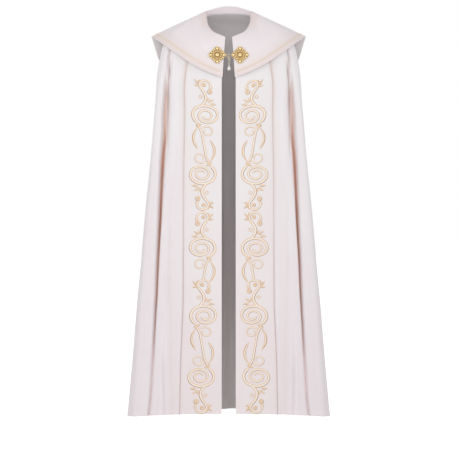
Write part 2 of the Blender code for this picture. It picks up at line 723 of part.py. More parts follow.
def turned(profile, sides):
    """Points and triangles of a solid turned about Z: radius and height from the top down, the
    first and the last on the axis."""
    angle = np.arange(sides) * 2 * math.pi / sides
    rings = [np.stack((r * np.cos(angle), r * np.sin(angle), np.full(sides, z)), axis=-1)
             for r, z in profile[1:-1]]
    ends = [np.array([[0.0, 0.0, profile[0][1]]]), np.array([[0.0, 0.0, profile[-1][1]]])]
    return np.concatenate([ends[0]] + rings + [ends[1]]), fan_faces(len(rings), sides)


def wire_along(path, closed, wire):
    """Points and triangles of round wire along a path: a closed ring, or with flat ends."""
    path = np.array(path)
    if closed:
        ahead = np.roll(path, -1, axis=0) - np.roll(path, 1, axis=0)
    else:
        ahead = np.gradient(path, axis=0)
    ahead /= np.linalg.norm(ahead, axis=1, keepdims=True)
    spread_out = path - path.mean(axis=0)
    flat = np.linalg.svd(spread_out)[2][2]
    side = np.cross(ahead, flat)
    side /= np.linalg.norm(side, axis=1, keepdims=True)
    angle = np.arange(WIRE_SIDES) * 2 * math.pi / WIRE_SIDES
    points = path[:, None] + wire * (side[:, None] * np.cos(angle)[:, None]
                                     + flat * np.sin(angle)[:, None])
    faces = []
    count = len(path)
    for i in range(count if closed else count - 1):
        for j in range(WIRE_SIDES):
            a, b = i * WIRE_SIDES + j, i * WIRE_SIDES + (j + 1) % WIRE_SIDES
            c, d = [((i + 1) % count) * WIRE_SIDES + k % WIRE_SIDES for k in (j + 1, j)]
            faces.extend(((a, b, c), (a, c, d)))
    if not closed:
        end = (count - 1) * WIRE_SIDES
        for j in range(1, WIRE_SIDES - 1):
            faces.extend(((0, j + 1, j), (end, end + j, end + j + 1)))
    return points.reshape(-1, 3), faces


def ring_path(centre, radius, yaw):
    """Points of an upright ring, its plane turned about Z from the XZ plane by a yaw in
    degrees."""
    angle = np.arange(RING_STEPS) * 2 * math.pi / RING_STEPS
    turn = math.radians(yaw)
    level = radius * np.cos(angle)
    return np.stack((centre[0] + level * math.cos(turn), centre[1] + level * math.sin(turn),
                     centre[2] + radius * np.sin(angle)), axis=-1)


def facing_out(points, faces):
    """The triangles, turned over if the solid's volume comes out negative."""
    corners = points[np.array(faces)]
    volume = np.einsum("ij,ij->i", corners[:, 0], np.cross(corners[:, 1], corners[:, 2])).sum()
    return faces if volume > 0 else [face[::-1] for face in faces]


def add_solid(name, points, faces, material, hinge=None):
    """A closed solid. A moving one is parented to its hinge's empty."""
    piece = make_object(name, points, facing_out(points, faces), material)
    if hinge is not None:
        piece.parent = hinge
        piece.matrix_parent_inverse = hinge.matrix_world.inverted()
    return piece


def seat_on(outer, normal, x, z, reach):
    """Where a flat plate lies on the collar: the nearest grid point's normal, and a place SEAM_GAP
    above the highest collar point within reach."""
    flat = outer.reshape(-1, 3)
    facing = normal.reshape(-1, 3)
    away = np.hypot(flat[:, 0] - x, flat[:, 2] - z) + np.where(flat[:, 1] > 0, 1.0, 0.0)
    near = np.argsort(away)[:4]
    up = facing[near].mean(axis=0)
    up /= np.linalg.norm(up)
    y = np.average(flat[near, 1], weights=1 / (away[near] + 0.001))
    place = np.array([x, y, z])
    below = flat[away < reach]
    rise = ((below - place) @ up).max()
    return place + up * (rise + SEAM_GAP), up


def plate_frame(up):
    """Axes of a plate whose face looks along up: level to +X, then the other across."""
    level = np.cross(np.array([0.0, 0.0, 1.0]), up)
    level /= np.linalg.norm(level)
    return np.stack((level, np.cross(up, level), up))


def make_clasp(outer, normal, gold):
    """Both plates and, between them, the hook in the eye. Gives the eye's middle."""
    points, faces = plate_points()
    tips = []
    for name, side in (("clasp_plate_left", -1), ("clasp_plate_right", 1)):
        place, up = seat_on(outer, normal, side * PLATE_X, PLATE_Z, PLATE_REACH + PLATE_MARGIN)
        frame = plate_frame(up)
        add_solid(name, place + points @ frame, faces, gold)
        tips.append(place - side * frame[0] * PLATE_REACH + up * PLATE_THICK * 0.5)
    left, right = tips
    eye = np.array([EYE_X, (left[1] + right[1]) / 2, EYE_Z])
    angle = np.radians(np.linspace(*EYE_GAP, RING_STEPS))
    loop = eye + EYE_RADIUS * np.stack((np.cos(angle), 0 * angle, np.sin(angle)), axis=-1)
    knee = (eye[0] + EYE_RADIUS + 2 * WIRE, eye[1], PLATE_Z)
    tail = (right[0] - SEAM_GAP, eye[1], PLATE_Z)
    points, faces = wire_along(np.concatenate((loop, [knee, tail])), False, WIRE)
    add_solid("clasp_eye", points, faces, gold)
    bend = 2 * WIRE + SEAM_GAP
    held = np.array([eye[0] - EYE_RADIUS, eye[1], EYE_Z])
    angle = np.radians(np.linspace(*HOOK_BEND, 7))
    hook = held + bend * np.stack((np.cos(angle), np.sin(angle), 0 * angle), axis=-1)
    shank = (left[0] + SEAM_GAP + WIRE / 2, left[1], PLATE_Z)
    elbow = (left[0] + 3 * WIRE, left[1] - bend, (PLATE_Z + EYE_Z) / 2)
    points, faces = wire_along(np.concatenate(([shank, elbow], hook)), False, WIRE)
    add_solid("clasp_hook", points, faces, gold)
    return eye


def make_pendant(eye, gold, pale, pearl):
    """The swinging chain and drop, under an empty on the hinge's axis: the middle of the wire at
    the bottom of the eye."""
    hinge = bpy.data.objects.new("pendant_hinge", None)
    hinge.location = eye - np.array([0.0, 0.0, EYE_RADIUS])
    bpy.context.scene.collection.objects.link(hinge)
    bpy.context.view_layer.update()
    bottom = hinge.location[2]
    held_wire = WIRE
    rings = [("pendant_ring", RING_RADIUS, WIRE, RING_YAW, gold)]
    for k in range(LINKS):
        rings.append((f"chain_link_{k + 1}", LINK_RADIUS, SMALL_WIRE, RING_YAW + 90 * (k + 1), pale))
    for name, radius, wire, yaw, material in rings:
        centre = bottom + held_wire + wire + SEAM_GAP - radius
        path = ring_path((eye[0], eye[1], centre), radius, yaw)
        add_solid(name, *wire_along(path, True, wire), material, hinge)
        bottom = centre - radius
        held_wire = wire
    centre = bottom + held_wire + SMALL_WIRE + SEAM_GAP - BAIL_RADIUS
    path = ring_path((eye[0], eye[1], centre), BAIL_RADIUS, RING_YAW + 90 * (LINKS + 1))
    add_solid("pendant_bail", *wire_along(path, True, SMALL_WIRE), pale, hinge)
    top = centre - BAIL_RADIUS - SMALL_WIRE - SEAM_GAP
    cap = [(0.0, top)] + [(radius, top - below) for radius, below in CAP_PROFILE]
    cap.append((0.0, top - CAP_HEIGHT))
    points, faces = turned(cap, TURN_STEPS)
    add_solid("pendant_cap", points + [eye[0], eye[1], 0.0], faces, pale, hinge)
    top -= CAP_HEIGHT + SEAM_GAP
    down = np.linspace(0.0, math.pi, 11)
    drop = []
    for a in down:
        radius = DROP_RADIUS * math.sin(a) * (1.0 - DROP_SWELL * math.cos(a))
        drop.append((radius, top - DROP_HEIGHT * (1 - math.cos(a)) / 2))
    points, faces = turned(drop, TURN_STEPS)
    add_solid("pendant_drop", points + [eye[0], eye[1], 0.0], faces, pearl, hinge)


# The whole --------------------------------------------------------------------------------------

def main():
    """Clears the scene and makes every piece."""
    for piece in list(bpy.data.objects):
        bpy.data.objects.remove(piece, do_unlink=True)
    satin = make_material("rose_satin", (0.80, 0.73, 0.73), 0.42)
    band = make_material("orphrey_satin", (0.83, 0.77, 0.77), 0.42)
    braid = make_material("galloon_braid", (0.86, 0.70, 0.54), 0.55)
    gold = make_material("clasp_gold", (0.86, 0.62, 0.28), 0.28, 1.0)
    pale = make_material("pale_metal", (0.85, 0.80, 0.70), 0.25, 1.0)
    pearl = make_material("pearl", (0.88, 0.85, 0.80), 0.20)
    make_back(satin)
    for name, side in (("left", -1), ("right", 1)):
        make_front(f"front_{name}", side, satin)
        make_orphrey(f"orphrey_{name}", side, band)
    outer, normal = make_collar(satin)
    make_neckband(outer, normal, satin)
    make_galloon(outer, normal, braid)
    eye = make_clasp(outer, normal, gold)
    make_pendant(eye, gold, pale, pearl)


main()
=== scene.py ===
"""Looks of the cope vestment: satin cloth with its folds, embroidered bands, braid, clasp, drop.

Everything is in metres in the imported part's frame: +Z up, the front faces -Y, the origin is the
middle of the neck. Cloth pieces are thin walls on the same surface as the part's own pieces.
"""
import math

import bpy
import numpy as np
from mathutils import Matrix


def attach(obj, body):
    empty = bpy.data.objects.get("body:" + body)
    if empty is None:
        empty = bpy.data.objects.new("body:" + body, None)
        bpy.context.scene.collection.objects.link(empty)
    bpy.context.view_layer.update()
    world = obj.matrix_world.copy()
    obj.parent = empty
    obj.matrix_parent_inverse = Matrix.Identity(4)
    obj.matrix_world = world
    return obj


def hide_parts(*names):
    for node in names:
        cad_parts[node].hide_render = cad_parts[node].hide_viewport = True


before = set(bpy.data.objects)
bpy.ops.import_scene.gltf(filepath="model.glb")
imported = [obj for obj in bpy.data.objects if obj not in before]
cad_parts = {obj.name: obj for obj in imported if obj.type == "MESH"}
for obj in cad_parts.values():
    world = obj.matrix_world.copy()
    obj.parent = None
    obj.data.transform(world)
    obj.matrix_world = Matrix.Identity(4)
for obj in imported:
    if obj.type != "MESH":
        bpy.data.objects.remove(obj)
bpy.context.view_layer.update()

# ---- Sizes of the cloth ----

CLOTH = 0.0016               # thickness of the body, the bands and the collar
BAND_CLOTH = 0.0018
COLLAR_CLOTH = 0.0022
SEAM_GAP = 0.0003            # room between two pieces that meet
HALF_GAP = SEAM_GAP / 2
FRONT_EDGE_X = 0.0254        # a band's front edge from the middle
SIDE_SEAM_SHIFT = 0.030      # the side seam's place behind the widest line, at the hem
SEAM_DIP = 0.0055            # depth of the dip along a band's outer seam
SEAM_DIP_BODY = 0.016        # how far it reaches on the body, high up and low down
SEAM_DIP_LOW = 0.006
SEAM_DIP_FROM = 0.4          # where on the way down that changes, and over what span
SEAM_DIP_SPAN = 0.45
SEAM_DIP_BAND = 0.0009       # how far it reaches on the band
SEAM_DIP_LEVEL = 4           # row of the body's table at which it is full
FOLD_FADE = 0.22             # height over which a fold grows
FOLD_POWER = 1.5             # power in a fold's bell
FOLD_SHADE_DEPTH = 0.048            # arm fold depth at which the painted fold shade is full
FOLD_SHADE_FROM = 0.1         # share of that depth at which it starts
FOLD_SHADE_PER_METRE = 6.0              # share of the painted fold shade for each metre of a plain fold's depth
STRAIGHT_FROM = 0.61         # turn from which folds go straight back, and the change's span
STRAIGHT_SPAN = 0.06
BACKWARD = np.array([0.0, 1.0, 0.0])

# A row for each level of the body cloth, from the neckline to the hem.
BODY_COLUMNS = ("side_x", "side_y", "side_z", "front_y", "front_z", "back_y", "back_z",
                "seam_x", "front_square", "back_square", "tilt")
BODY_LEVELS = (
    (0.080, 0.004, -0.016, -0.098, -0.117, 0.074, 0.000, 0.064, 2.0, 2.0, 1.0),
    (0.142, 0.004, -0.037, -0.124, -0.158, 0.110, -0.044, 0.104, 2.1, 2.0, 1.2),
    (0.200, 0.004, -0.063, -0.141, -0.200, 0.130, -0.105, 0.138, 2.3, 2.0, 1.4),
    (0.238, 0.004, -0.110, -0.147, -0.240, 0.142, -0.170, 0.151, 2.4, 2.05, 1.6),
    (0.256, 0.004, -0.178, -0.1495, -0.286, 0.152, -0.250, 0.1585, 2.5, 2.2, 1.8),
    (0.272, 0.006, -0.359, -0.153, -0.400, 0.168, -0.410, 0.1595, 2.6, 2.4, 2.0),
    (0.289, 0.010, -0.548, -0.158, -0.565, 0.190, -0.580, 0.1625, 2.6, 2.6, 2.0),
    (0.309, 0.014, -0.744, -0.164, -0.748, 0.217, -0.762, 0.1635, 2.6, 2.6, 2.0),
    (0.3242, 0.018, -0.918, -0.170, -0.914, 0.243, -0.930, 0.1635, 2.6, 2.6, 2.0),
    (0.3395, 0.022, -1.077, -0.177, -1.066, 0.268, -1.086, 0.1643, 2.6, 2.6, 2.0),
    (0.3568, 0.026, -1.288, -0.186, -1.272, 0.300, -1.290, 0.1725, 2.6, 2.6, 2.0),
    (0.3757, 0.030, -1.493, -0.196, -1.471, 0.332, -1.493, 0.1765, 2.6, 2.6, 2.0),
)

# The deep fold in front of each arm, a row for each height below the neck: its place as a
# fraction of the ring's half width, its depth, and its width towards the centre and away.
ARM_FOLD_COLUMNS = ("below", "place", "depth", "near", "far")
ARM_FOLD = (
    (0.18, 0.880, 0.004, 0.014, 0.014),
    (0.28, 0.858, 0.025, 0.020, 0.013),
    (0.37, 0.856, 0.030, 0.018, 0.013),
    (0.44, 0.836, 0.034, 0.010, 0.013),
    (0.55, 0.827, 0.041, 0.008, 0.012),
    (0.66, 0.813, 0.039, 0.006, 0.010),
    (0.75, 0.798, 0.041, 0.0035, 0.010),
    (0.92, 0.788, 0.035, 0.0030, 0.009),
    (1.06, 0.773, 0.031, 0.0026, 0.008),
    (1.17, 0.771, 0.026, 0.0030, 0.007),
    (1.32, 0.769, 0.017, 0.006, 0.008),
    (1.44, 0.766, 0.016, 0.006, 0.007),
    (1.60, 0.795, 0.015, 0.006, 0.007),
)

# A row for each other fold. Places are fractions of the ring's half width seen from the face
# named; a front fold is on both sides. Depth is inwards, a negative depth is a ridge. "near" is the
# width towards the centre and "far" away from it. Start and end are heights below the neck.
FOLD_COLUMNS = ("face", "place_from", "place_to", "depth_from", "depth_to", "near", "far",
                "start", "end")
FOLDS = (
    ("front", 0.988, 0.785, 0.025, 0.025, 0.0050, 0.013, 0.00, 0.25),
    ("front", 0.850, 0.782, 0.035, 0.031, 0.0042, 0.009, 0.08, 0.56),
    ("front", 0.950, 0.905, -0.010, -0.012, 0.030, 0.034, 0.16, 1.60),
    ("front", 0.730, 0.505, 0.007, 0.010, 0.016, 0.018, 0.50, 1.60),
    ("front", 0.695, 0.580, 0.006, 0.009, 0.006, 0.007, 1.16, 1.60),
    ("back", -0.930, -0.945, 0.020, 0.046, 0.026, 0.026, 0.30, 1.60),
    ("back", -0.700, -0.745, 0.024, 0.060, 0.028, 0.028, 0.42, 1.60),
    ("back", -0.480, -0.525, 0.022, 0.052, 0.025, 0.025, 0.50, 1.60),
    ("back", -0.255, -0.285, 0.026, 0.064, 0.029, 0.029, 0.46, 1.60),
    ("back", -0.050, -0.060, 0.018, 0.048, 0.025, 0.025, 0.58, 1.60),
    ("back", 0.170, 0.185, 0.026, 0.066, 0.029, 0.029, 0.44, 1.60),
    ("back", 0.390, 0.430, 0.020, 0.050, 0.025, 0.025, 0.55, 1.60),
    ("back", 0.620, 0.670, 0.026, 0.062, 0.028, 0.028, 0.40, 1.60),
    ("back", 0.850, 0.890, 0.022, 0.050, 0.026, 0.026, 0.32, 1.60),
)
# Soft creases and swells that only show close to, listed in the same columns.
CREASES = (
    ("front", 0.735, 0.690, -0.0055, -0.0065, 0.012, 0.012, 0.20, 1.20),
    ("front", 0.665, 0.640, 0.0022, 0.0030, 0.010, 0.012, 0.24, 0.70),
    ("front", 0.990, 0.962, 0.0030, 0.0050, 0.012, 0.014, 0.40, 1.60),
    ("front", 0.925, 0.875, 0.0016, 0.0034, 0.008, 0.010, 0.70, 1.60),
    ("front", 0.728, 0.656, -0.0030, -0.0060, 0.009, 0.009, 1.02, 1.60),
    ("front", 0.665, 0.575, -0.0020, -0.0050, 0.007, 0.009, 1.10, 1.60),
    ("front", 0.550, 0.482, -0.0025, -0.0055, 0.008, 0.008, 0.74, 1.60),
    ("back", -0.985, -0.990, -0.0050, 0.0090, 0.018, 0.016, 0.30, 1.60),
    ("back", -0.600, -0.640, -0.0040, -0.0070, 0.016, 0.014, 0.52, 1.60),
    ("back", -0.370, -0.400, 0.0030, 0.0060, 0.009, 0.011, 0.90, 1.60),
    ("back", -0.150, -0.165, -0.0040, -0.0060, 0.015, 0.013, 0.62, 1.50),
    ("back", 0.060, 0.066, 0.0030, 0.0050, 0.010, 0.009, 1.00, 1.60),
    ("back", 0.280, 0.305, -0.0045, -0.0070, 0.014, 0.016, 0.56, 1.60),
    ("back", 0.510, 0.550, 0.0025, 0.0055, 0.010, 0.010, 0.84, 1.60),
    ("back", 0.740, 0.785, -0.0040, -0.0060, 0.015, 0.014, 0.50, 1.60),
    ("back", 0.985, 0.988, -0.0040, 0.0080, 0.016, 0.018, 0.34, 1.60),
)

# A row for each section of the collar, from the centre back round to its front edge. The section
# at COLLAR_CORNER is the shoulder's.
COLLAR_COLUMNS = ("roll_x", "roll_y", "roll_z", "bend_x", "bend_y", "bend_z",
                  "edge_x", "edge_y", "edge_z")
COLLAR_SECTIONS = (
    (0.000, 0.084, 0.028, 0.000, 0.139, -0.042, 0.000, 0.180, -0.395),
    (0.030, 0.079, 0.0255, 0.065, 0.140, -0.040, 0.086, 0.173, -0.370),
    (0.058, 0.061, 0.017, 0.130, 0.122, -0.036, 0.172, 0.150, -0.300),
    (0.081, 0.034, 0.007, 0.190, 0.074, -0.046, 0.251, 0.092, -0.193),
    (0.0895, 0.004, 0.000, 0.203, 0.008, -0.0495, 0.2865, 0.014, -0.0890),
    (0.0870, -0.022, -0.022, 0.192, -0.045, -0.054, 0.2470, -0.060, -0.1198),
    (0.0780, -0.054, -0.054, 0.152, -0.098, -0.088, 0.1931, -0.112, -0.1609),
    (0.0560, -0.083, -0.082, 0.100, -0.126, -0.118, 0.1294, -0.143, -0.2049),
    (0.0340, -0.098, -0.093, 0.056, -0.138, -0.136, 0.0740, -0.153, -0.2335),
    (0.0125, -0.108, -0.104, 0.0165, -0.139, -0.150, 0.0225, -0.155, -0.2525),
)
COLLAR_CORNER = 4

# ---- Tables as curves ----

RING_SAMPLES = 801           # points at which a ring is measured
STEP = 0.0010                # length over which a normal is taken


def columns_of(names, rows):
    """Turns a table's rows into one array for each named column."""
    return {name: np.array([row[i] for row in rows]) for i, name in enumerate(names)}


def smooth_between(knots, values, slopes, at):
    """Cubic between two rows that meets both rows' values and slopes."""
    i = np.clip(np.searchsorted(knots, at, side="right") - 1, 0, len(knots) - 2)
    span = knots[i + 1] - knots[i]
    t = (at - knots[i]) / span
    start = (1 + 2 * t) * (1 - t) ** 2 * values[i] + t * (1 - t) ** 2 * span * slopes[i]
    end = t ** 2 * (3 - 2 * t) * values[i + 1] - t ** 2 * (1 - t) * span * slopes[i + 1]
    return start + end


def smooth_step(t):
    """0 to 1 with level ends."""
    t = np.clip(t, 0.0, 1.0)
    return t * t * (3 - 2 * t)


BODY = columns_of(BODY_COLUMNS, BODY_LEVELS)
ARM = columns_of(ARM_FOLD_COLUMNS, ARM_FOLD)
SIDE_STEPS = np.hypot(np.diff(BODY["side_x"]), np.diff(BODY["side_z"]))
BODY_DOWN = np.concatenate(([0.0], np.cumsum(SIDE_STEPS)))
BODY_SLOPES = {name: np.gradient(BODY[name], BODY_DOWN) for name in BODY_COLUMNS}


def level(name, down):
    """A column of the body's table at a distance down the side."""
    return smooth_between(BODY_DOWN, BODY[name], BODY_SLOPES[name], down)


# ---- The body cloth's surface ----

def ring_point(turn, down):
    """Point on the plain ring: a superellipse with its own depth, height and squareness in front
    and behind. turn is 0 at the centre back, 0.5 at the side and 1 at the centre front."""
    angle = np.abs(turn) * math.pi
    sine, cosine = np.abs(np.sin(angle)), np.cos(angle)
    front = cosine < 0
    power = 2.0 / np.where(front, level("front_square", down), level("back_square", down))
    depth = np.where(front, level("front_y", down), level("back_y", down))
    height = np.where(front, level("front_z", down), level("back_z", down))
    side_y, side_z = level("side_y", down), level("side_z", down)
    x = np.sign(turn) * level("side_x", down) * sine ** power
    y = side_y + (depth - side_y) * np.abs(cosine) ** power
    z = side_z + (height - side_z) * np.abs(cosine) ** level("tilt", down)
    return np.stack(np.broadcast_arrays(x, y, z), axis=-1)


def ring_lengths(down):
    """Cloth length from the centre back to each sampled turn, for each level."""
    turns = np.linspace(-1.0, 1.0, RING_SAMPLES)
    points = ring_point(turns[None, :], down)
    steps = np.linalg.norm(np.diff(points, axis=1), axis=2)
    lengths = np.concatenate((np.zeros((len(down), 1)), np.cumsum(steps, axis=1)), axis=1)
    return lengths - lengths[:, RING_SAMPLES // 2][:, None]


class Rings:
    """The rings at a set of levels, measured once: levels is a column of distances down."""

    def __init__(self, down):
        self.down = down
        self.lengths = ring_lengths(down)

    def length_at_turn(self, turn):
        """Cloth length from the centre back to a turn."""
        place = (turn + 1.0) / 2.0 * (RING_SAMPLES - 1)
        low = np.clip(np.floor(place).astype(int), 0, RING_SAMPLES - 2)
        near = np.take_along_axis(self.lengths, low, axis=1)
        far = np.take_along_axis(self.lengths, low + 1, axis=1)
        return near + (far - near) * (place - low)

    def turn_at_length(self, length):
        """The inverse: a turn for each cloth length."""
        turns = np.linspace(-1.0, 1.0, RING_SAMPLES)
        return np.array([np.interp(row, known, turns)
                         for row, known in zip(length, self.lengths)])

    def length_at_width(self, face, place):
        """Cloth length to where the ring is at a fraction of its half width."""
        power = level(face + "_square", self.down) / 2.0
        turn = np.arcsin(np.clip(np.abs(place), 0, 1) ** power) / math.pi
        turn = 1.0 - turn if face == "front" else turn
        return self.length_at_turn(np.sign(place) * turn)

    def arm_line(self):
        """Cloth length to the arm fold's line."""
        return self.length_at_width("front", arm_fold("place", self.down))

    def seam(self):
        """Cloth length to the band's outer seam."""
        return self.length_at_width("front", level("seam_x", self.down)
                                    / level("side_x", self.down))

    def front_edge(self):
        """Cloth length to the front edge."""
        return self.length_at_width("front", FRONT_EDGE_X / level("side_x", self.down))

    def side_seam(self):
        """Cloth length to the side seam, a little behind the widest line."""
        shift = SIDE_SEAM_SHIFT * level("side_x", self.down) / BODY["side_x"][-1]
        return self.length_at_turn(np.full_like(self.down, 0.5)) - shift


def arm_fold(name, down):
    """A column of the arm fold's table at each level."""
    below = np.clip(-level("side_z", down), ARM["below"][0], ARM["below"][-1])
    slopes = np.gradient(ARM[name], ARM["below"])
    return smooth_between(ARM["below"], ARM[name], slopes, below)


def signed_rows(table):
    """Every fold with its sides written out."""
    rows = []
    for row in table:
        fold = dict(zip(FOLD_COLUMNS, row))
        if fold["face"] == "front":
            rows.append(dict(fold, place_from=-fold["place_from"], place_to=-fold["place_to"]))
        rows.append(fold)
    return rows


def fold_line(fold, rings):
    """A fold's line as cloth length, its side and its depth, for each level."""
    below = -level("side_z", rings.down)
    part = np.clip((below - fold["start"]) / (fold["end"] - fold["start"]), 0.0, 1.0)
    place = fold["place_from"] + (fold["place_to"] - fold["place_from"]) * part
    depth = fold["depth_from"] + (fold["depth_to"] - fold["depth_from"]) * part
    grow = smooth_step((below - fold["start"]) / FOLD_FADE)
    fade = smooth_step((fold["end"] - below) / (FOLD_FADE / 2))
    return rings.length_at_width(fold["face"], place), np.sign(place), depth * grow * fade


def fold_shift(length, rings, tables):
    """How far the cloth lies inside the plain ring: each fold is a bell, exp(-q^1.5), with its
    own width on either side; the band's seam is a dip, exp(-q), wider on the body."""
    shift = np.zeros_like(length)
    for fold in signed_rows(tables):
        line, side, depth = fold_line(fold, rings)
        away = (length - line) * side
        towards_centre = away > 0 if fold["face"] == "front" else away < 0
        width = np.where(towards_centre, fold["near"], fold["far"])
        shift += depth * np.exp(-(np.abs(away) / width) ** FOLD_POWER)
    from_seam = np.abs(length) - rings.seam()
    low = smooth_step((rings.down / BODY_DOWN[-1] - SEAM_DIP_FROM) / SEAM_DIP_SPAN)
    body = SEAM_DIP_BODY + (SEAM_DIP_LOW - SEAM_DIP_BODY) * low
    dip = np.where(from_seam > 0, SEAM_DIP_BAND, body)
    fade = smooth_step(rings.down / BODY_DOWN[SEAM_DIP_LEVEL])
    return shift + SEAM_DIP * np.exp(-np.abs(from_seam) / dip) * fade


def arm_shift(length, rings):
    """How far the cloth goes straight back in the arm fold: the same bell."""
    inside = np.abs(length) - rings.arm_line()
    width = np.where(inside > 0, arm_fold("near", rings.down), arm_fold("far", rings.down))
    return arm_fold("depth", rings.down) * np.exp(-(np.abs(inside) / width) ** FOLD_POWER)


def body_point(length, rings, tables):
    """Point on the cloth's outer face: the plain ring moved in along its level normal, and
    straight back on the face and in the arm fold. Also the share of the painted fold shade there."""
    turn = rings.turn_at_length(length)
    point = ring_point(turn, rings.down)
    along = ring_point(np.clip(turn + STEP, -1, 1), rings.down) \
        - ring_point(np.clip(turn - STEP, -1, 1), rings.down)
    outward = np.stack((-along[..., 1], along[..., 0], np.zeros_like(turn)), axis=-1)
    outward /= np.linalg.norm(outward, axis=-1, keepdims=True)
    shift, back = fold_shift(length, rings, tables), arm_shift(length, rings)
    straight = smooth_step((np.abs(turn) - STRAIGHT_FROM) / STRAIGHT_SPAN)[..., None]
    inward = BACKWARD * straight - outward * (1 - straight)
    moved = point + inward * shift[..., None] + BACKWARD * back[..., None]
    # painted fold shade: the colour darkens towards the fold colour the deeper the arm fold
    fold_shade = smooth_step((back / FOLD_SHADE_DEPTH - FOLD_SHADE_FROM) / (1 - FOLD_SHADE_FROM))
    return moved, np.clip(np.maximum(fold_shade, shift * FOLD_SHADE_PER_METRE), 0, 1)


def body_grid(columns, down, tables):
    """Outer points, unit normals, shares of the painted fold shade and cloth lengths.
    columns(rings) gives the lengths of a grid's columns at a set of levels; a normal is the cross
    product of the two ways across the grid, each over a short step."""
    rings = Rings(down)
    length = columns(rings)
    point, fold = body_point(length, rings, tables)
    across = body_point(length + STEP, rings, tables)[0] \
        - body_point(length - STEP, rings, tables)[0]
    above, below = Rings(np.clip(down - STEP, 0, None)), \
        Rings(np.clip(down + STEP, None, BODY_DOWN[-1]))
    run = body_point(columns(below), below, tables)[0] \
        - body_point(columns(above), above, tables)[0]
    normal = np.cross(across, run)
    normal /= np.linalg.norm(normal, axis=-1, keepdims=True)
    return point, normal, fold, length


# ---- The collar's surface ----

ROLL_RADIUS = 0.0042         # the roll over the stand
LAST_STRETCH = 0.1           # share of the fall over which an inset is measured
COLLAR = columns_of(COLLAR_COLUMNS, COLLAR_SECTIONS)
ROLL_STEPS = np.sqrt(sum(np.diff(COLLAR["roll_" + axis]) ** 2 for axis in "xyz"))
COLLAR_ROUND = np.concatenate(([0.0], np.cumsum(ROLL_STEPS)))
COLLAR_ROUND /= COLLAR_ROUND[-1]


def collar_column(name, around):
    """A column of the collar's table. The lower edge turns sharply at the shoulder corner, and
    the centre back is level across."""
    knots, values = COLLAR_ROUND, COLLAR[name]
    slopes = np.gradient(values, knots)
    if not name.endswith("_x"):
        slopes[0] = 0.0
    if not name.startswith("edge"):
        return smooth_between(knots, values, slopes, around)
    k = COLLAR_CORNER
    back_slopes = np.append(slopes[:k], (values[k] - values[k - 1]) / (knots[k] - knots[k - 1]))
    back = smooth_between(knots[:k + 1], values[:k + 1], back_slopes, around)
    front = smooth_between(knots[k:], values[k:], np.gradient(values[k:], knots[k:]), around)
    return np.where(around < knots[k], back, front)


def collar_trio(prefix, around):
    """A point of the collar's table, mirrored to the sign of around."""
    x, y, z = (collar_column(prefix + axis, np.abs(around)) for axis in ("_x", "_y", "_z"))
    return np.stack((x * np.sign(around), y, z), axis=-1)


def collar_fall(around, down):
    """Point on the fall: a quadratic curve from the roll's top, bending towards the table's
    middle point, to the lower edge."""
    roll, bend, edge = (collar_trio(name, around) for name in ("roll", "bend", "edge"))
    t = down[..., None]
    return (1 - t) ** 2 * roll + 2 * t * (1 - t) * bend + t ** 2 * edge


def collar_roll(around, part):
    """Point on the roll: an arc from its inner foot (part 0) over to the fall's start (1)."""
    ahead = collar_trio("bend", around) - collar_trio("roll", around)
    flat = ahead * np.array([1.0, 1.0, 0.0])
    run = np.linalg.norm(flat, axis=-1, keepdims=True)
    outward, slope = flat / run, np.arctan2(-ahead[..., 2:], run)
    up = np.array([0.0, 0.0, 1.0])
    top = outward * np.sin(slope) + up * np.cos(slope)
    centre = collar_trio("roll", around) - ROLL_RADIUS * top
    angle = math.pi - (math.pi / 2 + slope) * part[..., None]
    return centre + ROLL_RADIUS * (outward * np.cos(angle) + up * np.sin(angle))


def down_at_inset(around, inset):
    """How far down the fall a line parallel to the lower edge lies: its distance over the sine
    of the angle between edge and fall, as a share of the fall's last stretch."""
    side = np.where(np.abs(around) < COLLAR_ROUND[COLLAR_CORNER], -1.0, 1.0)
    here = collar_trio("edge", around)
    tangent = collar_trio("edge", around + side * 2 * STEP * np.sign(around + 1e-9)) - here
    tangent /= np.linalg.norm(tangent, axis=-1, keepdims=True)
    rise = here - collar_fall(around, np.full(around.shape, 1 - LAST_STRETCH))
    run = np.linalg.norm(rise, axis=-1)
    cosine = np.sum(rise / run[..., None] * tangent, axis=-1)
    return 1 - LAST_STRETCH * inset / np.sqrt(1 - cosine ** 2) / run


def grid_normals(grid):
    """Unit normals of a grid whose rows run down and whose columns run to the right."""
    normal = np.cross(np.gradient(grid, axis=0), np.gradient(grid, axis=1))
    return normal / np.linalg.norm(normal, axis=-1, keepdims=True)


# ---- Meshes ----

SHARP_CLOTH = 60.0           # angle in degrees past which an edge is sharp
SHARP_THREAD = 50.0
SHARP_METAL = 40.0


def wall_faces(rows, cols, ring=False):
    """Quads of a closed wall: the outer grid, the inner grid turned over, and the rim. In a ring
    the last row joins the first, and each side has a rim of its own."""
    outer = np.arange(rows * cols).reshape(rows, cols)

    def quads(g):
        if ring:
            g = np.concatenate((g, g[:1]))
        return np.stack((g[:-1, :-1], g[1:, :-1], g[1:, 1:], g[:-1, 1:]), axis=-1).reshape(-1, 4)

    if ring:
        rims = [outer[:, -1], outer[::-1, 0]]
    else:
        rims = [np.concatenate((outer[0, :-1], outer[:-1, -1], outer[-1, :0:-1], outer[:0:-1, 0]))]
    edges = [np.stack((rim, np.roll(rim, -1), np.roll(rim, -1) + rows * cols, rim + rows * cols),
                      axis=1) for rim in rims]
    return np.concatenate([quads(outer), quads(outer + rows * cols)[:, ::-1]] + edges)


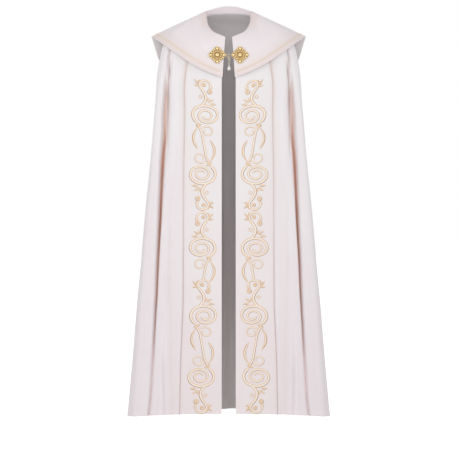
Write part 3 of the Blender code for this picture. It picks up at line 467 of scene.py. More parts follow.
def new_mesh(name, points, faces, materials, uv=None, slots=None, sharp=None):
    """A mesh object at the origin, from arrays, shaded smooth."""
    mesh = bpy.data.meshes.new(name)
    mesh.from_pydata(np.asarray(points).tolist(), [], [list(map(int, f)) for f in faces])
    for material in materials:
        mesh.materials.append(material)
    if slots is not None:
        mesh.polygons.foreach_set("material_index", np.asarray(slots, dtype=np.int32))
    if uv is not None:
        corner = np.zeros(len(mesh.loops), dtype=np.int32)
        mesh.loops.foreach_get("vertex_index", corner)
        layer = mesh.uv_layers.new(name="UVMap")
        layer.data.foreach_set("uv", np.asarray(uv)[corner].astype(np.float32).ravel())
    mesh.shade_smooth()
    if sharp is not None:
        mesh.set_sharp_from_angle(angle=math.radians(sharp))
    piece = bpy.data.objects.new(name, mesh)
    bpy.context.scene.collection.objects.link(piece)
    return piece


def set_values(piece, **values):
    """A float on each point for each name, for the materials."""
    for name, value in values.items():
        layer = piece.data.attributes.new(name, "FLOAT", "POINT")
        layer.data.foreach_set("value", np.asarray(value, dtype=np.float32).ravel())


def twice(grid, width=1):
    """A grid's values for both faces of a wall."""
    flat = np.reshape(grid, (-1, width))
    return np.concatenate((flat, flat))


def wall_piece(name, face, behind, uv, materials, slots=None):
    """A closed wall between two grids of points: the face, and the grid behind it."""
    points = np.concatenate((face.reshape(-1, 3), behind.reshape(-1, 3)))
    return new_mesh(name, points, wall_faces(*face.shape[:2]), materials, twice(uv, 2), slots,
                    SHARP_CLOTH)


def cloth_wall(name, outer, normal, thick, uv, fold, shade, materials):
    """A thin wall of cloth: the outer grid, the same grid moved in, and its rim. The inner face
    takes the second material, the lining. Fold and shade, 0 to 1, are painted shade: they tell the
    material where the cloth lies in a deep fold and beside a seam, and how far to darken it there."""
    rows, cols = outer.shape[:2]
    half = (rows - 1) * (cols - 1)
    slots = np.zeros(2 * half + 2 * (rows + cols - 2), dtype=np.int32)
    slots[half:2 * half] = 1
    piece = wall_piece(name, outer, outer - normal * thick, uv, materials, slots)
    set_values(piece, fold=twice(fold), shade=np.concatenate((shade.ravel(), shade.ravel() * 0)))
    return piece


class Parts:
    """Small forms, each points with quads or triangles, gathered into one mesh."""

    def __init__(self):
        self.points, self.faces, self.uv, self.count = [], [], [], 0

    def add(self, points, faces, uv=None):
        """Adds a form after those before it."""
        points = np.asarray(points).reshape(-1, 3)
        self.points.append(points)
        self.faces.extend([[int(i) + self.count for i in face] for face in faces])
        self.uv.append(np.zeros((len(points), 2)) if uv is None else np.asarray(uv).reshape(-1, 2))
        self.count += len(points)

    def mesh(self, name, material, sharp):
        """One mesh of all the forms."""
        return new_mesh(name, np.concatenate(self.points), self.faces, [material],
                        np.concatenate(self.uv), None, sharp)


def circle(angle, radius=1.0, height=0.0):
    """Points on a level circle, or on any outline given as a radius for each angle."""
    return np.stack(np.broadcast_arrays(radius * np.cos(angle), radius * np.sin(angle), height),
                    axis=-1)


def tube(path, radius, sides, closed=False, flat=None):
    """Points and quads of a round tube along a path: at each point a ring in the plane across
    the path, with one axis kept as near as it can be to a steady direction."""
    path = np.asarray(path, dtype=float)
    count = len(path)
    ahead = np.roll(path, -1, 0) - np.roll(path, 1, 0) if closed else np.gradient(path, axis=0)
    ahead /= np.linalg.norm(ahead, axis=1, keepdims=True)
    if flat is None:
        flat = np.linalg.svd(path - path.mean(axis=0))[2][2]
    side = np.cross(ahead, flat)
    side /= np.linalg.norm(side, axis=1, keepdims=True)
    up = np.cross(side, ahead)
    angle = np.arange(sides) * 2 * math.pi / sides
    radius = np.broadcast_to(radius, (count,))[:, None, None]
    ring = side[:, None] * np.cos(angle)[:, None] + up[:, None] * np.sin(angle)[:, None]
    points = path[:, None] + radius * ring
    i = np.arange(count if closed else count - 1)[:, None]
    j = np.arange(sides)[None, :]
    a, b = i * sides + j, i * sides + (j + 1) % sides
    after = (i + 1) % count
    c, d = after * sides + (j + 1) % sides, after * sides + j
    faces = np.stack((a, d, c, b), axis=-1).reshape(-1, 4).tolist()
    if not closed:
        faces.append(list(range(sides)))
        faces.append([(count - 1) * sides + k for k in range(sides)][::-1])
    return points.reshape(-1, 3), faces


def turned(profile, sides):
    """Points and faces of a form turned about Z, from the top down: radius and height, with
    both ends closed by a fan."""
    angle = np.arange(sides) * 2 * math.pi / sides
    rings = [circle(angle, r, h) for r, h in profile[1:-1]]
    points = np.concatenate([[[0.0, 0.0, profile[0][1]]]] + rings + [[[0.0, 0.0, profile[-1][1]]]])
    count = len(rings)
    faces = []
    last = 1 + count * sides
    for k in range(sides):
        n = (k + 1) % sides
        faces.append([0, 1 + k, 1 + n])
        for i in range(count - 1):
            a, b = 1 + i * sides + k, 1 + i * sides + n
            faces.append([a, a + sides, b + sides, b])
        faces.append([last, last - sides + n, last - sides + k])
    return points, faces


# ---- Materials ----

def new_node(tree, kind, output, inputs, **settings):
    """A shader node's output. Each input is a socket, a number or a colour; the settings are the
    node's own properties."""
    node = tree.nodes.new("ShaderNode" + kind)
    for name, value in settings.items():
        setattr(node, name, value)
    for place, value in inputs.items():
        socket = node.inputs[place]
        if isinstance(value, bpy.types.NodeSocket):
            tree.links.new(value, socket)
        elif socket.type == "RGBA":
            socket.default_value = (*value, 1.0)
        else:
            socket.default_value = value
    return node.outputs[output]


def math_node(tree, operation, first, second):
    """A sum or product of two values."""
    return new_node(tree, "Math", 0, {0: first, 1: second}, operation=operation)


def noise_node(tree, vector, scale, detail):
    """A Noise texture's value."""
    return new_node(tree, "TexNoise", "Fac", {"Scale": scale, "Detail": detail, "Vector": vector})


def bump_node(tree, height, strength, distance):
    """A Bump node's normal."""
    return new_node(tree, "Bump", "Normal", {"Strength": strength, "Distance": distance,
                                             "Height": height})


def mixed(tree, factor, first, second):
    """A colour between two others."""
    return new_node(tree, "Mix", 2, {0: factor, 6: first, 7: second}, data_type="RGBA")


def attribute_value(tree, name):
    """A mesh attribute's value."""
    return new_node(tree, "Attribute", "Fac", {}, attribute_name=name)


def ramp_node(tree, value, span, first, second):
    """A colour that goes evenly from the first to the second over a span of the value."""
    node = tree.nodes.new("ShaderNodeValToRGB")
    for element, place, colour in zip(node.color_ramp.elements, span, (first, second)):
        element.position = place
        element.color = (*colour, 1.0)
    tree.links.new(value, node.inputs["Fac"])
    return node.outputs["Color"]


def group_node(tree, group, vector):
    """The outputs of a node that uses a group on a vector."""
    node = tree.nodes.new("ShaderNodeGroup")
    node.node_tree = group
    tree.links.new(vector, node.inputs[0])
    return node.outputs


def new_group(name, source, *results):
    """A node group with one vector as its input, and its tree, source and sink."""
    tree = bpy.data.node_groups.new(name, "ShaderNodeTree")
    tree.interface.new_socket(name=source, in_out="INPUT", socket_type="NodeSocketVector")
    for label in results:
        kind = "NodeSocketVector" if label == "Normal" else "NodeSocketFloat"
        tree.interface.new_socket(name=label, in_out="OUTPUT", socket_type=kind)
    vector = tree.nodes.new("NodeGroupInput").outputs[source]
    return tree, vector, tree.nodes.new("NodeGroupOutput").inputs


def make_weave_group():
    """Satin's face: long floats along the cloth, broken up, with a few soft slubs. Takes the
    cloth's UV in metres and gives a normal."""
    tree, uv, sink = new_group("satin_weave", "UV", "Normal")
    floats = new_node(tree, "TexWave", "Fac", {"Scale": 480.0, "Distortion": 0.6, "Vector": uv},
                      bands_direction="DIAGONAL")
    stretched = new_node(tree, "Mapping", "Vector", {"Scale": (900.0, 60.0, 1.0), "Vector": uv})
    slubs = noise_node(tree, stretched, scale=1.0, detail=2.0)
    height = math_node(tree, "ADD", floats, math_node(tree, "MULTIPLY", slubs, 0.8))
    tree.links.new(bump_node(tree, height, strength=0.25, distance=0.0002), sink["Normal"])
    return tree


def make_tone_group():
    """Slow changes of tone in a cloth: wide soft clouds with a little fine grain, 0 to 1."""
    tree, vector, sink = new_group("cloth_tone", "Vector", "Tone")
    wide = noise_node(tree, vector, scale=5.0, detail=3.0)
    fine = noise_node(tree, vector, scale=160.0, detail=2.0)
    tone = math_node(tree, "ADD", math_node(tree, "MULTIPLY", wide, 0.8),
                     math_node(tree, "MULTIPLY", fine, 0.2))
    tree.links.new(tone, sink["Tone"])
    return tree


def make_thread_group():
    """Laid threads: fine lines across a stroke, with uneven sheen. Takes a UV in metres."""
    tree, uv, sink = new_group("laid_thread", "UV", "Normal", "Mask")
    lines = new_node(tree, "TexWave", "Fac", {"Scale": 700.0, "Distortion": 0.4, "Vector": uv})
    uneven = noise_node(tree, uv, scale=260.0, detail=3.0)
    mask = math_node(tree, "ADD", math_node(tree, "MULTIPLY", lines, 0.5),
                     math_node(tree, "MULTIPLY", uneven, 0.5))
    tree.links.new(bump_node(tree, mask, strength=0.4, distance=0.0003), sink["Normal"])
    tree.links.new(mask, sink["Mask"])
    return tree


def make_wear_group():
    """Handling marks on metal: soft smudges and fine casting grain. Takes Object coordinates."""
    tree, vector, sink = new_group("metal_wear", "Vector", "Normal", "Mask")
    grain = noise_node(tree, vector, scale=1400.0, detail=2.0)
    tree.links.new(bump_node(tree, grain, strength=0.12, distance=0.0002), sink["Normal"])
    tree.links.new(noise_node(tree, vector, scale=90.0, detail=4.0), sink["Mask"])
    return tree


WEAVE = make_weave_group()
TONE = make_tone_group()
THREAD = make_thread_group()
WEAR = make_wear_group()
SEAM_SHADE = (0.68, 0.51, 0.43)      # the soft shade along a seam
TONE_SHARE = 0.6                     # how far the slow tone moves satin between its two colours
LOW_SHARE = -0.28                    # and how far each metre of height does
HEIGHT_TONE_SPAN = (0.34, 0.70)             # where that sum gives the first colour and the second
LAID_SHARE = 0.16                    # how far laid threads lighten a filling
EDGE_SPAN = (0.44, 0.70)             # where a stroke's couched edge starts and is full
SMUDGE_SHARE = 0.25                  # how far smudges darken metal
PEARL_SPAN = (0.35, 0.65)            # where the pearl's slow tone gives its two colours


def new_material(name, roughness, metallic=0.0, **constants):
    """A material, its tree and its Principled shader's sockets with the constants set."""
    material = bpy.data.materials.new(name)
    material.use_nodes = True
    tree = material.node_tree
    shader = tree.nodes["Principled BSDF"]
    shader.inputs["Roughness"].default_value = roughness
    shader.inputs["Metallic"].default_value = metallic
    for label, value in constants.items():
        shader.inputs[label.replace("_", " ")].default_value = value
    return material, tree, shader.inputs


def coordinates(tree):
    """The piece's own coordinates."""
    return tree.nodes.new("ShaderNodeTexCoord").outputs


def make_satin(name, light, warm, fold_shade, roughness):
    """Satin: two close colours, the second towards the hem and over its slow tone; a painted
    shade in its deep folds, warm as if light had bounced between their sides; a soft shade along
    its seams."""
    material, tree, shader = new_material(name, roughness, Sheen_Weight=0.25,
                                          Sheen_Roughness=0.35, Specular_IOR_Level=0.45)
    place = coordinates(tree)
    tone = group_node(tree, TONE, place["Object"])["Tone"]
    height = new_node(tree, "SeparateXYZ", "Z", {0: place["Object"]})
    # the colour moves to the second, darker and pinker one lower down and with the slow tone
    rosy = math_node(tree, "ADD", math_node(tree, "MULTIPLY", height, LOW_SHARE),
                     math_node(tree, "MULTIPLY", tone, TONE_SHARE))
    height_tone = ramp_node(tree, rosy, HEIGHT_TONE_SPAN, light, warm)
    # painted shade in the folds: the fold attribute mixes in the darker, warmer fold colour
    folded = mixed(tree, attribute_value(tree, "fold"), height_tone, fold_shade)
    shaded = mixed(tree, attribute_value(tree, "shade"), folded, SEAM_SHADE)
    tree.links.new(shaded, shader["Base Color"])
    tree.links.new(group_node(tree, WEAVE, place["UV"])["Normal"], shader["Normal"])
    return material


def make_thread(name, fill, leaf, lit, lee):
    """Embroidery: a filling of laid threads between two couched edges. Strong moves the filling
    towards the leaves' colour; an edge that looks away from the light takes the lee colour."""
    material, tree, shader = new_material(name, roughness=0.42, Sheen_Weight=0.2,
                                          Specular_IOR_Level=0.6)
    threads = group_node(tree, THREAD, coordinates(tree)["UV"])
    body = mixed(tree, attribute_value(tree, "strong"), fill, leaf)
    laid = mixed(tree, math_node(tree, "MULTIPLY", threads["Mask"], LAID_SHARE), body, lit)
    couched = mixed(tree, attribute_value(tree, "lee"), lit, lee)
    edge = ramp_node(tree, attribute_value(tree, "across"), EDGE_SPAN, (0, 0, 0), (1, 1, 1))
    tree.links.new(mixed(tree, edge, laid, couched), shader["Base Color"])
    tree.links.new(threads["Normal"], shader["Normal"])
    return material


def make_metal(name, light, recess_shade_and_smudge, roughness):
    """Polished metal with painted shade in its recesses and painted light on its tops: the height
    attribute runs from recess to top; smudges darken it towards the same shade colour.
    """
    material, tree, shader = new_material(name, roughness, metallic=0.6)
    wear = group_node(tree, WEAR, coordinates(tree)["Object"])
    # painted shade: each form darkens towards its foot and lightens towards its top
    level = mixed(tree, attribute_value(tree, "height"), recess_shade_and_smudge, light)
    smudged = mixed(tree, math_node(tree, "MULTIPLY", wear["Mask"], SMUDGE_SHARE), level, recess_shade_and_smudge)
    tree.links.new(smudged, shader["Base Color"])
    tree.links.new(wear["Normal"], shader["Normal"])
    return material


def make_pearl(name, first, second):
    """A pearl drop: pale, with a clear coat and a slow change between two tones."""
    material, tree, shader = new_material(name, roughness=0.30, Coat_Weight=0.6)
    tone = group_node(tree, TONE, coordinates(tree)["Object"])["Tone"]
    tree.links.new(ramp_node(tree, tone, PEARL_SPAN, first, second), shader["Base Color"])
    return material


# each satin's third colour is its painted fold shade
ROSE = make_satin("satin_rose", (0.872, 0.838, 0.846), (0.856, 0.780, 0.805),
                  (0.81, 0.505, 0.375), 0.46)
ORPHREY = make_satin("satin_band", (0.866, 0.836, 0.840), (0.856, 0.765, 0.775),
                     (0.78, 0.55, 0.50), 0.46)
COLLAR_SATIN = make_satin("satin_collar", (0.893, 0.820, 0.838), (0.870, 0.770, 0.792),
                          (0.68, 0.435, 0.35), 0.48)
LINING = make_satin("satin_lining", (0.90, 0.86, 0.86), (0.88, 0.83, 0.83),
                    (0.82, 0.68, 0.64), 0.55)
STAND = make_satin("satin_stand", (0.85, 0.76, 0.79), (0.83, 0.73, 0.76), (0.70, 0.50, 0.46), 0.50)
GOLD_THREAD = make_thread("thread_gold", (0.93, 0.865, 0.79), (0.73, 0.455, 0.22),
                          (0.75, 0.475, 0.245), (0.40, 0.195, 0.07))
BRAID = make_thread("thread_braid", (0.835, 0.71, 0.625), (0.835, 0.71, 0.625),
                    (0.79, 0.65, 0.55), (0.75, 0.59, 0.48))
GOLD = make_metal("metal_gold", (1.0, 0.80, 0.45), (0.36, 0.205, 0.06), 0.30)
PALE = make_metal("metal_pale", (0.90, 0.86, 0.78), (0.20, 0.17, 0.13), 0.22)
PEARL = make_pearl("pearl_white", (0.86, 0.82, 0.77), (0.80, 0.74, 0.69))

# ---- Body cloth ----

FINE = 1.0
ALL_FOLDS = FOLDS + CREASES
HEM_TURN = 0.012             # height of the turned-up hem, and of the step at its top
HEM_STEP = 0.002
HEM_RISE = 0.0005            # how much it stands out, and the share by which the cloth sinks
HEM_SINK = 0.3
SHADE_TOP = 0.75             # strength of the shade at the band's seam, at the top and low down
SHADE_LOW = 0.28
SHADE_BODY = 0.007           # how far it reaches on the body, at the top and low down
SHADE_BODY_LOW = 0.003
SHADE_BAND = 0.0035          # how far it reaches on the band
SHADE_SPEED = 1.6            # how fast the shade changes on the way down
TURNED_UNDER = (0.0, 0.0025, 0.005, 0.009, 0.014, 0.021)     # a band's first columns
BAND_REST = 0.032            # where its even columns start
CLOSE_FAR = 2.2              # a front's close columns: their reach in the arm fold's two widths
CLOSE_NEAR = 2.6
CLOSE_LEAST = 0.3            # share of the way to the fold's line that stays even at least
CLOSE_SHARES = (0, 0.25, 0.7, 1)     # shares of its columns before, in and after them


def levels(count):
    """Distances down, evenly, with two pairs of rows for the turned-up hem."""
    last = BODY_DOWN[-1]
    rows = np.linspace(0.0, last - HEM_TURN - HEM_STEP / 2, count)
    hem = last - np.array([HEM_TURN - HEM_STEP / 2, HEM_TURN / 2, HEM_STEP, 0.0])
    return np.concatenate((rows, hem))[:, None]


def on_side(sign, lengths):
    """Lengths from the side seam forwards, put on one side and in order for its grid."""
    return sign * (lengths if sign < 0 else lengths[:, ::-1])


def back_columns(count):
    """The back's columns: evenly from side seam to side seam."""
    def lengths(rings):
        edge = rings.side_seam() - HALF_GAP
        return edge - 2 * edge * np.linspace(0, 1, count)
    return lengths


def band_columns(sign, count):
    """A band's columns: close together where its outer edge is turned under, then even."""
    share = np.append(TURNED_UNDER, np.linspace(BAND_REST, 1.0, count - len(TURNED_UNDER)))

    def lengths(rings):
        start, end = rings.seam() + HALF_GAP, rings.front_edge()
        return on_side(sign, start + (end - start) * share)
    return lengths


def front_columns(sign, count):
    """A front's columns: nearly half of them close to the arm fold, the rest even beside it."""
    def lengths(rings):
        start, end = rings.side_seam() + HALF_GAP, rings.seam() - HALF_GAP
        line = rings.arm_line()
        low = np.maximum(line - CLOSE_FAR * arm_fold("far", rings.down),
                         start + (line - start) * CLOSE_LEAST)
        high = np.minimum(line + CLOSE_NEAR * arm_fold("near", rings.down),
                          end - (end - line) * CLOSE_LEAST)
        knots = np.concatenate((start, low, high, end), axis=1)
        share = np.interp(np.linspace(0, 1, count), CLOSE_SHARES, range(4))
        i = np.minimum(share.astype(int), 2)
        return on_side(sign, knots[:, i] + (knots[:, i + 1] - knots[:, i]) * (share - i))
    return lengths


def body_piece(name, columns, rows, thick, satin):
    """A wall of body cloth with its hem turned up and a shade, exp(-q), along the band's seam.
    Gives the piece, and the grid of points and normals on its face."""
    down = levels(int(rows * FINE))
    point, normal, fold, length = body_grid(columns, down, ALL_FOLDS)
    from_hem = BODY_DOWN[-1] - down
    rise = HEM_RISE * (1 - smooth_step((from_hem - HEM_TURN + HEM_STEP / 2) / HEM_STEP))
    point = point + normal * (rise - HEM_SINK * HEM_RISE)[..., None]
    low = smooth_step(down / BODY_DOWN[-1] * SHADE_SPEED)
    from_seam = np.abs(length) - Rings(down).seam()
    body_reach = SHADE_BODY + (SHADE_BODY_LOW - SHADE_BODY) * low
    reach = np.where(from_seam > 0, SHADE_BAND, body_reach)
    full = SHADE_TOP + (SHADE_LOW - SHADE_TOP) * low
    shade = full * np.exp(-np.abs(from_seam) / reach)
    uv = np.stack(np.broadcast_arrays(length, -down), axis=-1)
    piece = cloth_wall(name, point, normal, thick, uv, fold, shade, [satin, LINING])
    return piece, point, normal


# Each panel: its piece, columns, rows, thickness and satin.
PANELS = (
    ("back_cloth", back_columns(int(190 * FINE)), 200, CLOTH, ROSE),
    ("front_cloth_left", front_columns(-1, int(130 * FINE)), 240, CLOTH, ROSE),
    ("front_cloth_right", front_columns(1, int(130 * FINE)), 240, CLOTH, ROSE),
    ("orphrey_band_left", band_columns(-1, int(36 * FINE)), 220, BAND_CLOTH, ORPHREY),
    ("orphrey_band_right", band_columns(1, int(36 * FINE)), 220, BAND_CLOTH, ORPHREY),
)
pieces = {}
faces_of = {}                # each panel's grid of points and of normals
for panel in PANELS:
    pieces[panel[0]], *faces_of[panel[0]] = body_piece(*panel)

# ---- Embroidery ----

# The scrollwork is charted in millimetres on the left band, x to the right from its centre line
# and y down from the top of a motif; the other band mirrors it. A motif is a curl on a stem, a
# great spiral, a knot of leaves, a small spiral and a leaf arc. A row for each place of the motif:
# where its top is, and whether it is mirrored across and turned upside down.
CENTRE_FROM_EDGE = 66.0      # from the band's front edge to the chart's centre line
MOTIF_COLUMNS = ("x", "y", "across", "down")
MOTIFS = (
    (2.0, 262.0, 1, 1),
    (0.5, 731.0, -1, -1),
    (0.0, 745.0, -1, 1),
    (-4.0, 990.0, 1, 1),
    (-5.0, 1464.0, -1, -1),
)
# A row for each spiral; angles in degrees, squash is its height over its width.
SPIRAL_COLUMNS = ("x", "y", "from_radius", "to_radius", "from_angle", "to_angle", "squash",
                  "from_width", "to_width", "ringed")
SPIRALS = (
    (6.0, 127.0, 49.0, 9.0, 118.0, 880.0, 0.76, 11.0, 7.0, 1.0),
    (12.0, 187.0, 24.0, 10.0, -150.0, 230.0, 0.86, 6.5, 5.5, 0.0),
    (3.5, 17.0, 20.0, 21.0, 178.0, 392.0, 0.92, 9.0, 6.5, 0.0),
)
# A ringed spiral keeps to a wide ring, falls to a narrow one and ends in a hook: pairs of the
# share of its turn and the share of the way to its last radius.
RINGED = np.array(((0.0, 0.0), (0.18, 0.07), (0.36, 0.22), (0.56, 0.60), (0.72, 0.66),
                   (0.88, 0.74), (1.0, 1.0)))
# "strong", 0 to 1, moves a stroke's filling towards the leaves' colour.
CURVE_COLUMNS = ("points", "from_width", "middle_width", "to_width", "strong")
CURVES = (
    # the stem from the great spiral up to the curl
    (((-17, 100), (-5, 87), (4, 74), (6, 60), (2, 48), (-6, 36), (-14, 26), (-16.5, 16)),
     8.5, 11.0, 8.0, 0.0),
    # the stem from the knot down to the motif's end
    (((-20, 168), (-10, 188), (-5, 210), (0, 244)), 7.5, 8.5, 7.0, 0.0),
    # the leaf arc and its dark rib
    (((-25, 176), (-37, 200), (-37, 222), (-22, 250)), 1.5, 8.5, 1.5, 0.12),
    (((-28, 176), (-41, 200), (-41, 223), (-24, 253)), 0.8, 3.2, 0.8, 1.0),
)
LEAF_COLUMNS = ("x", "y", "angle", "length", "width", "strong")
LEAVES = (
    # the crown by the curl
    (-16, 15, 196, 25, 8, 0.55), (-17, 18, 148, 22, 9, 0.4), (-16, 12, 248, 15, 7, 0.6),
    # the spray by the great spiral
    (16, 80, -52, 26, 8, 0.45), (22, 86, -18, 24, 8, 0.5), (12, 76, -84, 17, 6, 0.35),
    # the knot
    (-24, 160, 74, 17, 12, 0.55), (-22, 168, 182, 9, 7, 0.4), (-23, 166, -38, 18, 10, 0.45),
    (-19, 172, 22, 12, 7, 0.5),
)
DOT_COLUMNS = ("x", "y", "radius", "hole", "strong")
DOTS = (
    (21, 38, 9.5, 0.05, 0.45),
    (-12, 60, 7.5, 0.45, 0.15),
    (0, 15, 7.5, 0.05, 0.5),
    (24, 22, 6.5, 0.05, 0.3),
)
STITCH_RISE = 0.0009         # height of a stroke FULL_WIDTH millimetres wide or wider
FULL_WIDTH = 8.0
LEAST_RISE = 0.35            # share of it that the narrowest stroke keeps
STITCH_FOOT = -0.0002        # the strokes' undersides, in the band's cloth
LAYER_STEP = 0.00006         # strokes that cross lie on one of five levels, this far apart
LAYERS = 5
LEE = np.array([-0.84, 0.54])       # away from the light on the chart: out and down
LEE_LEAST = 0.10             # the lee colour's share across the light, and its gain away from it
LEE_GAIN = 0.95
STROKE_ACROSS = np.array([-1.0, -0.86, -0.55, 0.0, 0.55, 0.86, 1.0])
STROKE_UV = 0.004            # half a stroke's width in its UV, in metres
CURVE_SWELL = 0.5            # share by which a curve's width is drawn to its middle width
CURVE_COUNT = 40             # points along a curve, a leaf and round a bud
LEAF_COUNT = 9
DOT_COUNT = 24
SPIRAL_STEP = 2.6            # millimetres between a spiral's points
SPIRAL_START = (0.05, 0.25)  # share of its way over which its width grows, and what it starts at
SPIRAL_END = (0.03, 0.4)
LEAF_BEND = 0.35             # radians that a leaf turns on its way
LEAF_TIP = 0.4               # millimetres that it keeps at its ends
LEAF_WIDEST = 0.65           # power that puts its widest place a third of the way along


def smooth_path(points, count):
    """A curve through given points: cubic pieces that meet the points' own slopes."""
    points = np.array(points, dtype=float)
    knots = np.concatenate(([0.0], np.cumsum(np.linalg.norm(np.diff(points, axis=0), axis=1))))
    at = np.linspace(0, knots[-1], count)
    return np.stack([smooth_between(knots, points[:, k], np.gradient(points[:, k], knots), at)
                     for k in (0, 1)], axis=-1)


def spiral_path(row):
    """A spiral whose radius goes from the first to the last, evenly or ringed, and its widths."""
    s = dict(zip(SPIRAL_COLUMNS, row))
    turn = np.radians(s["to_angle"] - s["from_angle"])
    count = int(abs(turn) * (s["from_radius"] + s["to_radius"]) / 2 / SPIRAL_STEP) + 8
    t = np.linspace(0, 1, count)
    at, share = RINGED.T
    fall = t + s["ringed"] * (smooth_between(at, share, np.gradient(share, at), t) - t)
    radius = s["from_radius"] + (s["to_radius"] - s["from_radius"]) * fall
    angle = np.radians(s["from_angle"]) + turn * t
    path = np.stack((s["x"] + radius * np.cos(angle),
                     s["y"] + s["squash"] * radius * np.sin(angle)), axis=-1)
    width = s["from_width"] + (s["to_width"] - s["from_width"]) * t
    ends = smooth_step(t / SPIRAL_START[0] + SPIRAL_START[1]) \
        * smooth_step((1 - t) / SPIRAL_END[0] + SPIRAL_END[1])
    return path, width * ends


class Band:
    """A band's face, looked up by its level distance from the front edge and its height below
    the neck."""

    def __init__(self, points, normals, side):
        self.points, self.normals, self.side = points, normals, side
        self.cols = points.shape[1]
        self.heights = -points[:, self.cols // 2, 2]

    def lookup(self, x, y):
        """Point and normal at a chart place: between the four corners of its cell."""
        row = np.interp(y / 1000.0, self.heights, np.arange(len(self.heights)))
        i = np.clip(row.astype(int), 0, len(self.heights) - 2)
        across = FRONT_EDGE_X + (CENTRE_FROM_EDGE - x) / 1000.0
        known = np.abs(self.points[i, :, 0])
        order = known if self.side > 0 else -known
        goal = (across if self.side > 0 else -across)[..., None]
        j = np.clip((order < goal).sum(axis=-1) - 1, 0, self.cols - 2)
        low = np.take_along_axis(order, j[..., None], axis=-1)[..., 0]
        high = np.take_along_axis(order, j[..., None] + 1, axis=-1)[..., 0]
        col = j + (goal[..., 0] - low) / (high - low)
        p, q = (row - i)[..., None], (col - j)[..., None]

        def blend(grid):
            return (grid[i, j] * (1 - p) * (1 - q) + grid[i + 1, j] * p * (1 - q)
                    + grid[i, j + 1] * (1 - p) * q + grid[i + 1, j + 1] * p * q)

        return blend(self.points), blend(self.normals)


class Stitching:
    """Raised strokes on a band, gathered into one mesh."""

    def __init__(self, band):
        self.band, self.parts, self.layer = band, Parts(), 0
        self.values = {"across": [], "strong": [], "lee": []}

    def place(self, x, y, rise, motif):
        """A motif's chart place on the band, at a height above it."""
        point, normal = self.band.lookup(motif["x"] + motif["across"] * x,
                                         motif["y"] + motif["down"] * y)
        return point + normal * rise[..., None]

    def stroke(self, path, width, motif, strong=0.0, ring=False):
        """A ribbon along a path: domed, its rise the root of 1 - s^2, s from -1 to 1 across."""
        self.layer = (self.layer + 1) % LAYERS
        ahead = np.roll(path, -1, 0) - np.roll(path, 1, 0) if ring else np.gradient(path, axis=0)
        ahead /= np.linalg.norm(ahead, axis=1, keepdims=True)
        beside = np.stack((ahead[:, 1], -ahead[:, 0]), axis=-1)
        s = STROKE_ACROSS
        flat = path[:, None] + beside[:, None] * (s[:, None] * width[:, None, None] / 2)
        share = np.clip(width / FULL_WIDTH, LEAST_RISE, 1.0)
        rise = STITCH_RISE * share[:, None] * np.sqrt(1 - s ** 2) + LAYER_STEP * self.layer
        face = self.place(flat[..., 0], flat[..., 1], rise, motif)
        foot = self.place(flat[..., 0], flat[..., 1], np.full_like(rise, STITCH_FOOT), motif)
        rows, cols = face.shape[:2]
        points = np.concatenate((face.reshape(-1, 3), foot.reshape(-1, 3)))
        faces = wall_faces(rows, cols, ring)
        if motif["across"] * motif["down"] * -self.band.side < 0:
            faces = faces[:, ::-1]
        gone = np.concatenate(([0.0], np.cumsum(np.linalg.norm(np.diff(path, axis=0), axis=1))))
        along = np.broadcast_to(gone[:, None] / 1000.0, (rows, cols))
        side = np.broadcast_to(s * STROKE_UV, (rows, cols))
        self.parts.add(points, faces, twice(np.stack((along, side), axis=-1), 2))
        away = beside @ (LEE * [motif["across"], motif["down"]])
        lee = np.clip(LEE_LEAST + LEE_GAIN * away[:, None] * np.sign(s), 0, 1)
        self.values["lee"].append(twice(lee))
        self.values["across"].append(twice(np.broadcast_to(np.abs(s), (rows, cols))))
        self.values["strong"].append(np.full((2 * rows * cols, 1), strong))

    def leaf(self, row, motif):
        """A pointed leaf: a short ribbon, widest a third of the way along."""
        leaf = dict(zip(LEAF_COLUMNS, row))
        t = np.linspace(0, 1, LEAF_COUNT)
        angle = math.radians(leaf["angle"]) + LEAF_BEND * t
        path = np.stack((leaf["x"] + leaf["length"] * t * np.cos(angle),
                         leaf["y"] + leaf["length"] * t * np.sin(angle)), axis=-1)
        width = leaf["width"] * np.sin(math.pi * t ** LEAF_WIDEST) + LEAF_TIP
        self.stroke(path, width, motif, leaf["strong"])

    def dot(self, row, motif):
        """A round bud: a ribbon bent into a ring round a hole, a mere pinprick in a full bud."""
        dot = dict(zip(DOT_COLUMNS, row))
        inner = dot["radius"] * dot["hole"]
        width = dot["radius"] - inner
        angle = np.linspace(0, 2 * math.pi, DOT_COUNT + 1)[:-1]
        reach = inner + width / 2
        path = np.stack((dot["x"] + reach * np.cos(angle), dot["y"] + reach * np.sin(angle)),
                        axis=-1)
        self.stroke(path, np.full(DOT_COUNT, width), motif, dot["strong"], ring=True)

    def finish(self, name):
        """The mesh of all strokes."""
        piece = self.parts.mesh(name, GOLD_THREAD, SHARP_THREAD)
        set_values(piece, **{label: np.concatenate(rows) for label, rows in self.values.items()})
        return piece


def embroider(name, band, side):
    """All motifs on one band. A curve's width goes evenly between its three, drawn towards the
    middle one by half a sine."""
    work = Stitching(Band(*faces_of[band], side))
    for place in MOTIFS:
        motif = dict(zip(MOTIF_COLUMNS, place))
        for row in SPIRALS:
            path, width = spiral_path(row)
            work.stroke(path, width, motif)
        for row in CURVES:
            curve = dict(zip(CURVE_COLUMNS, row))
            path = smooth_path(curve["points"], CURVE_COUNT)
            t = np.linspace(0, 1, CURVE_COUNT)
            width = np.interp(t, [0, 0.5, 1], [curve["from_width"], curve["middle_width"],
                                               curve["to_width"]])
            drawn = (curve["middle_width"] - width) * CURVE_SWELL * np.sin(math.pi * t)
            width = width + drawn
            work.stroke(path, width, motif, curve["strong"])
        for row in LEAVES:
            work.leaf(row, motif)
        for row in DOTS:
            work.dot(row, motif)
    piece = work.finish(name)
    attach(piece, "cope")


embroider("scrollwork_left", "orphrey_band_left", -1)
embroider("scrollwork_right", "orphrey_band_right", 1)
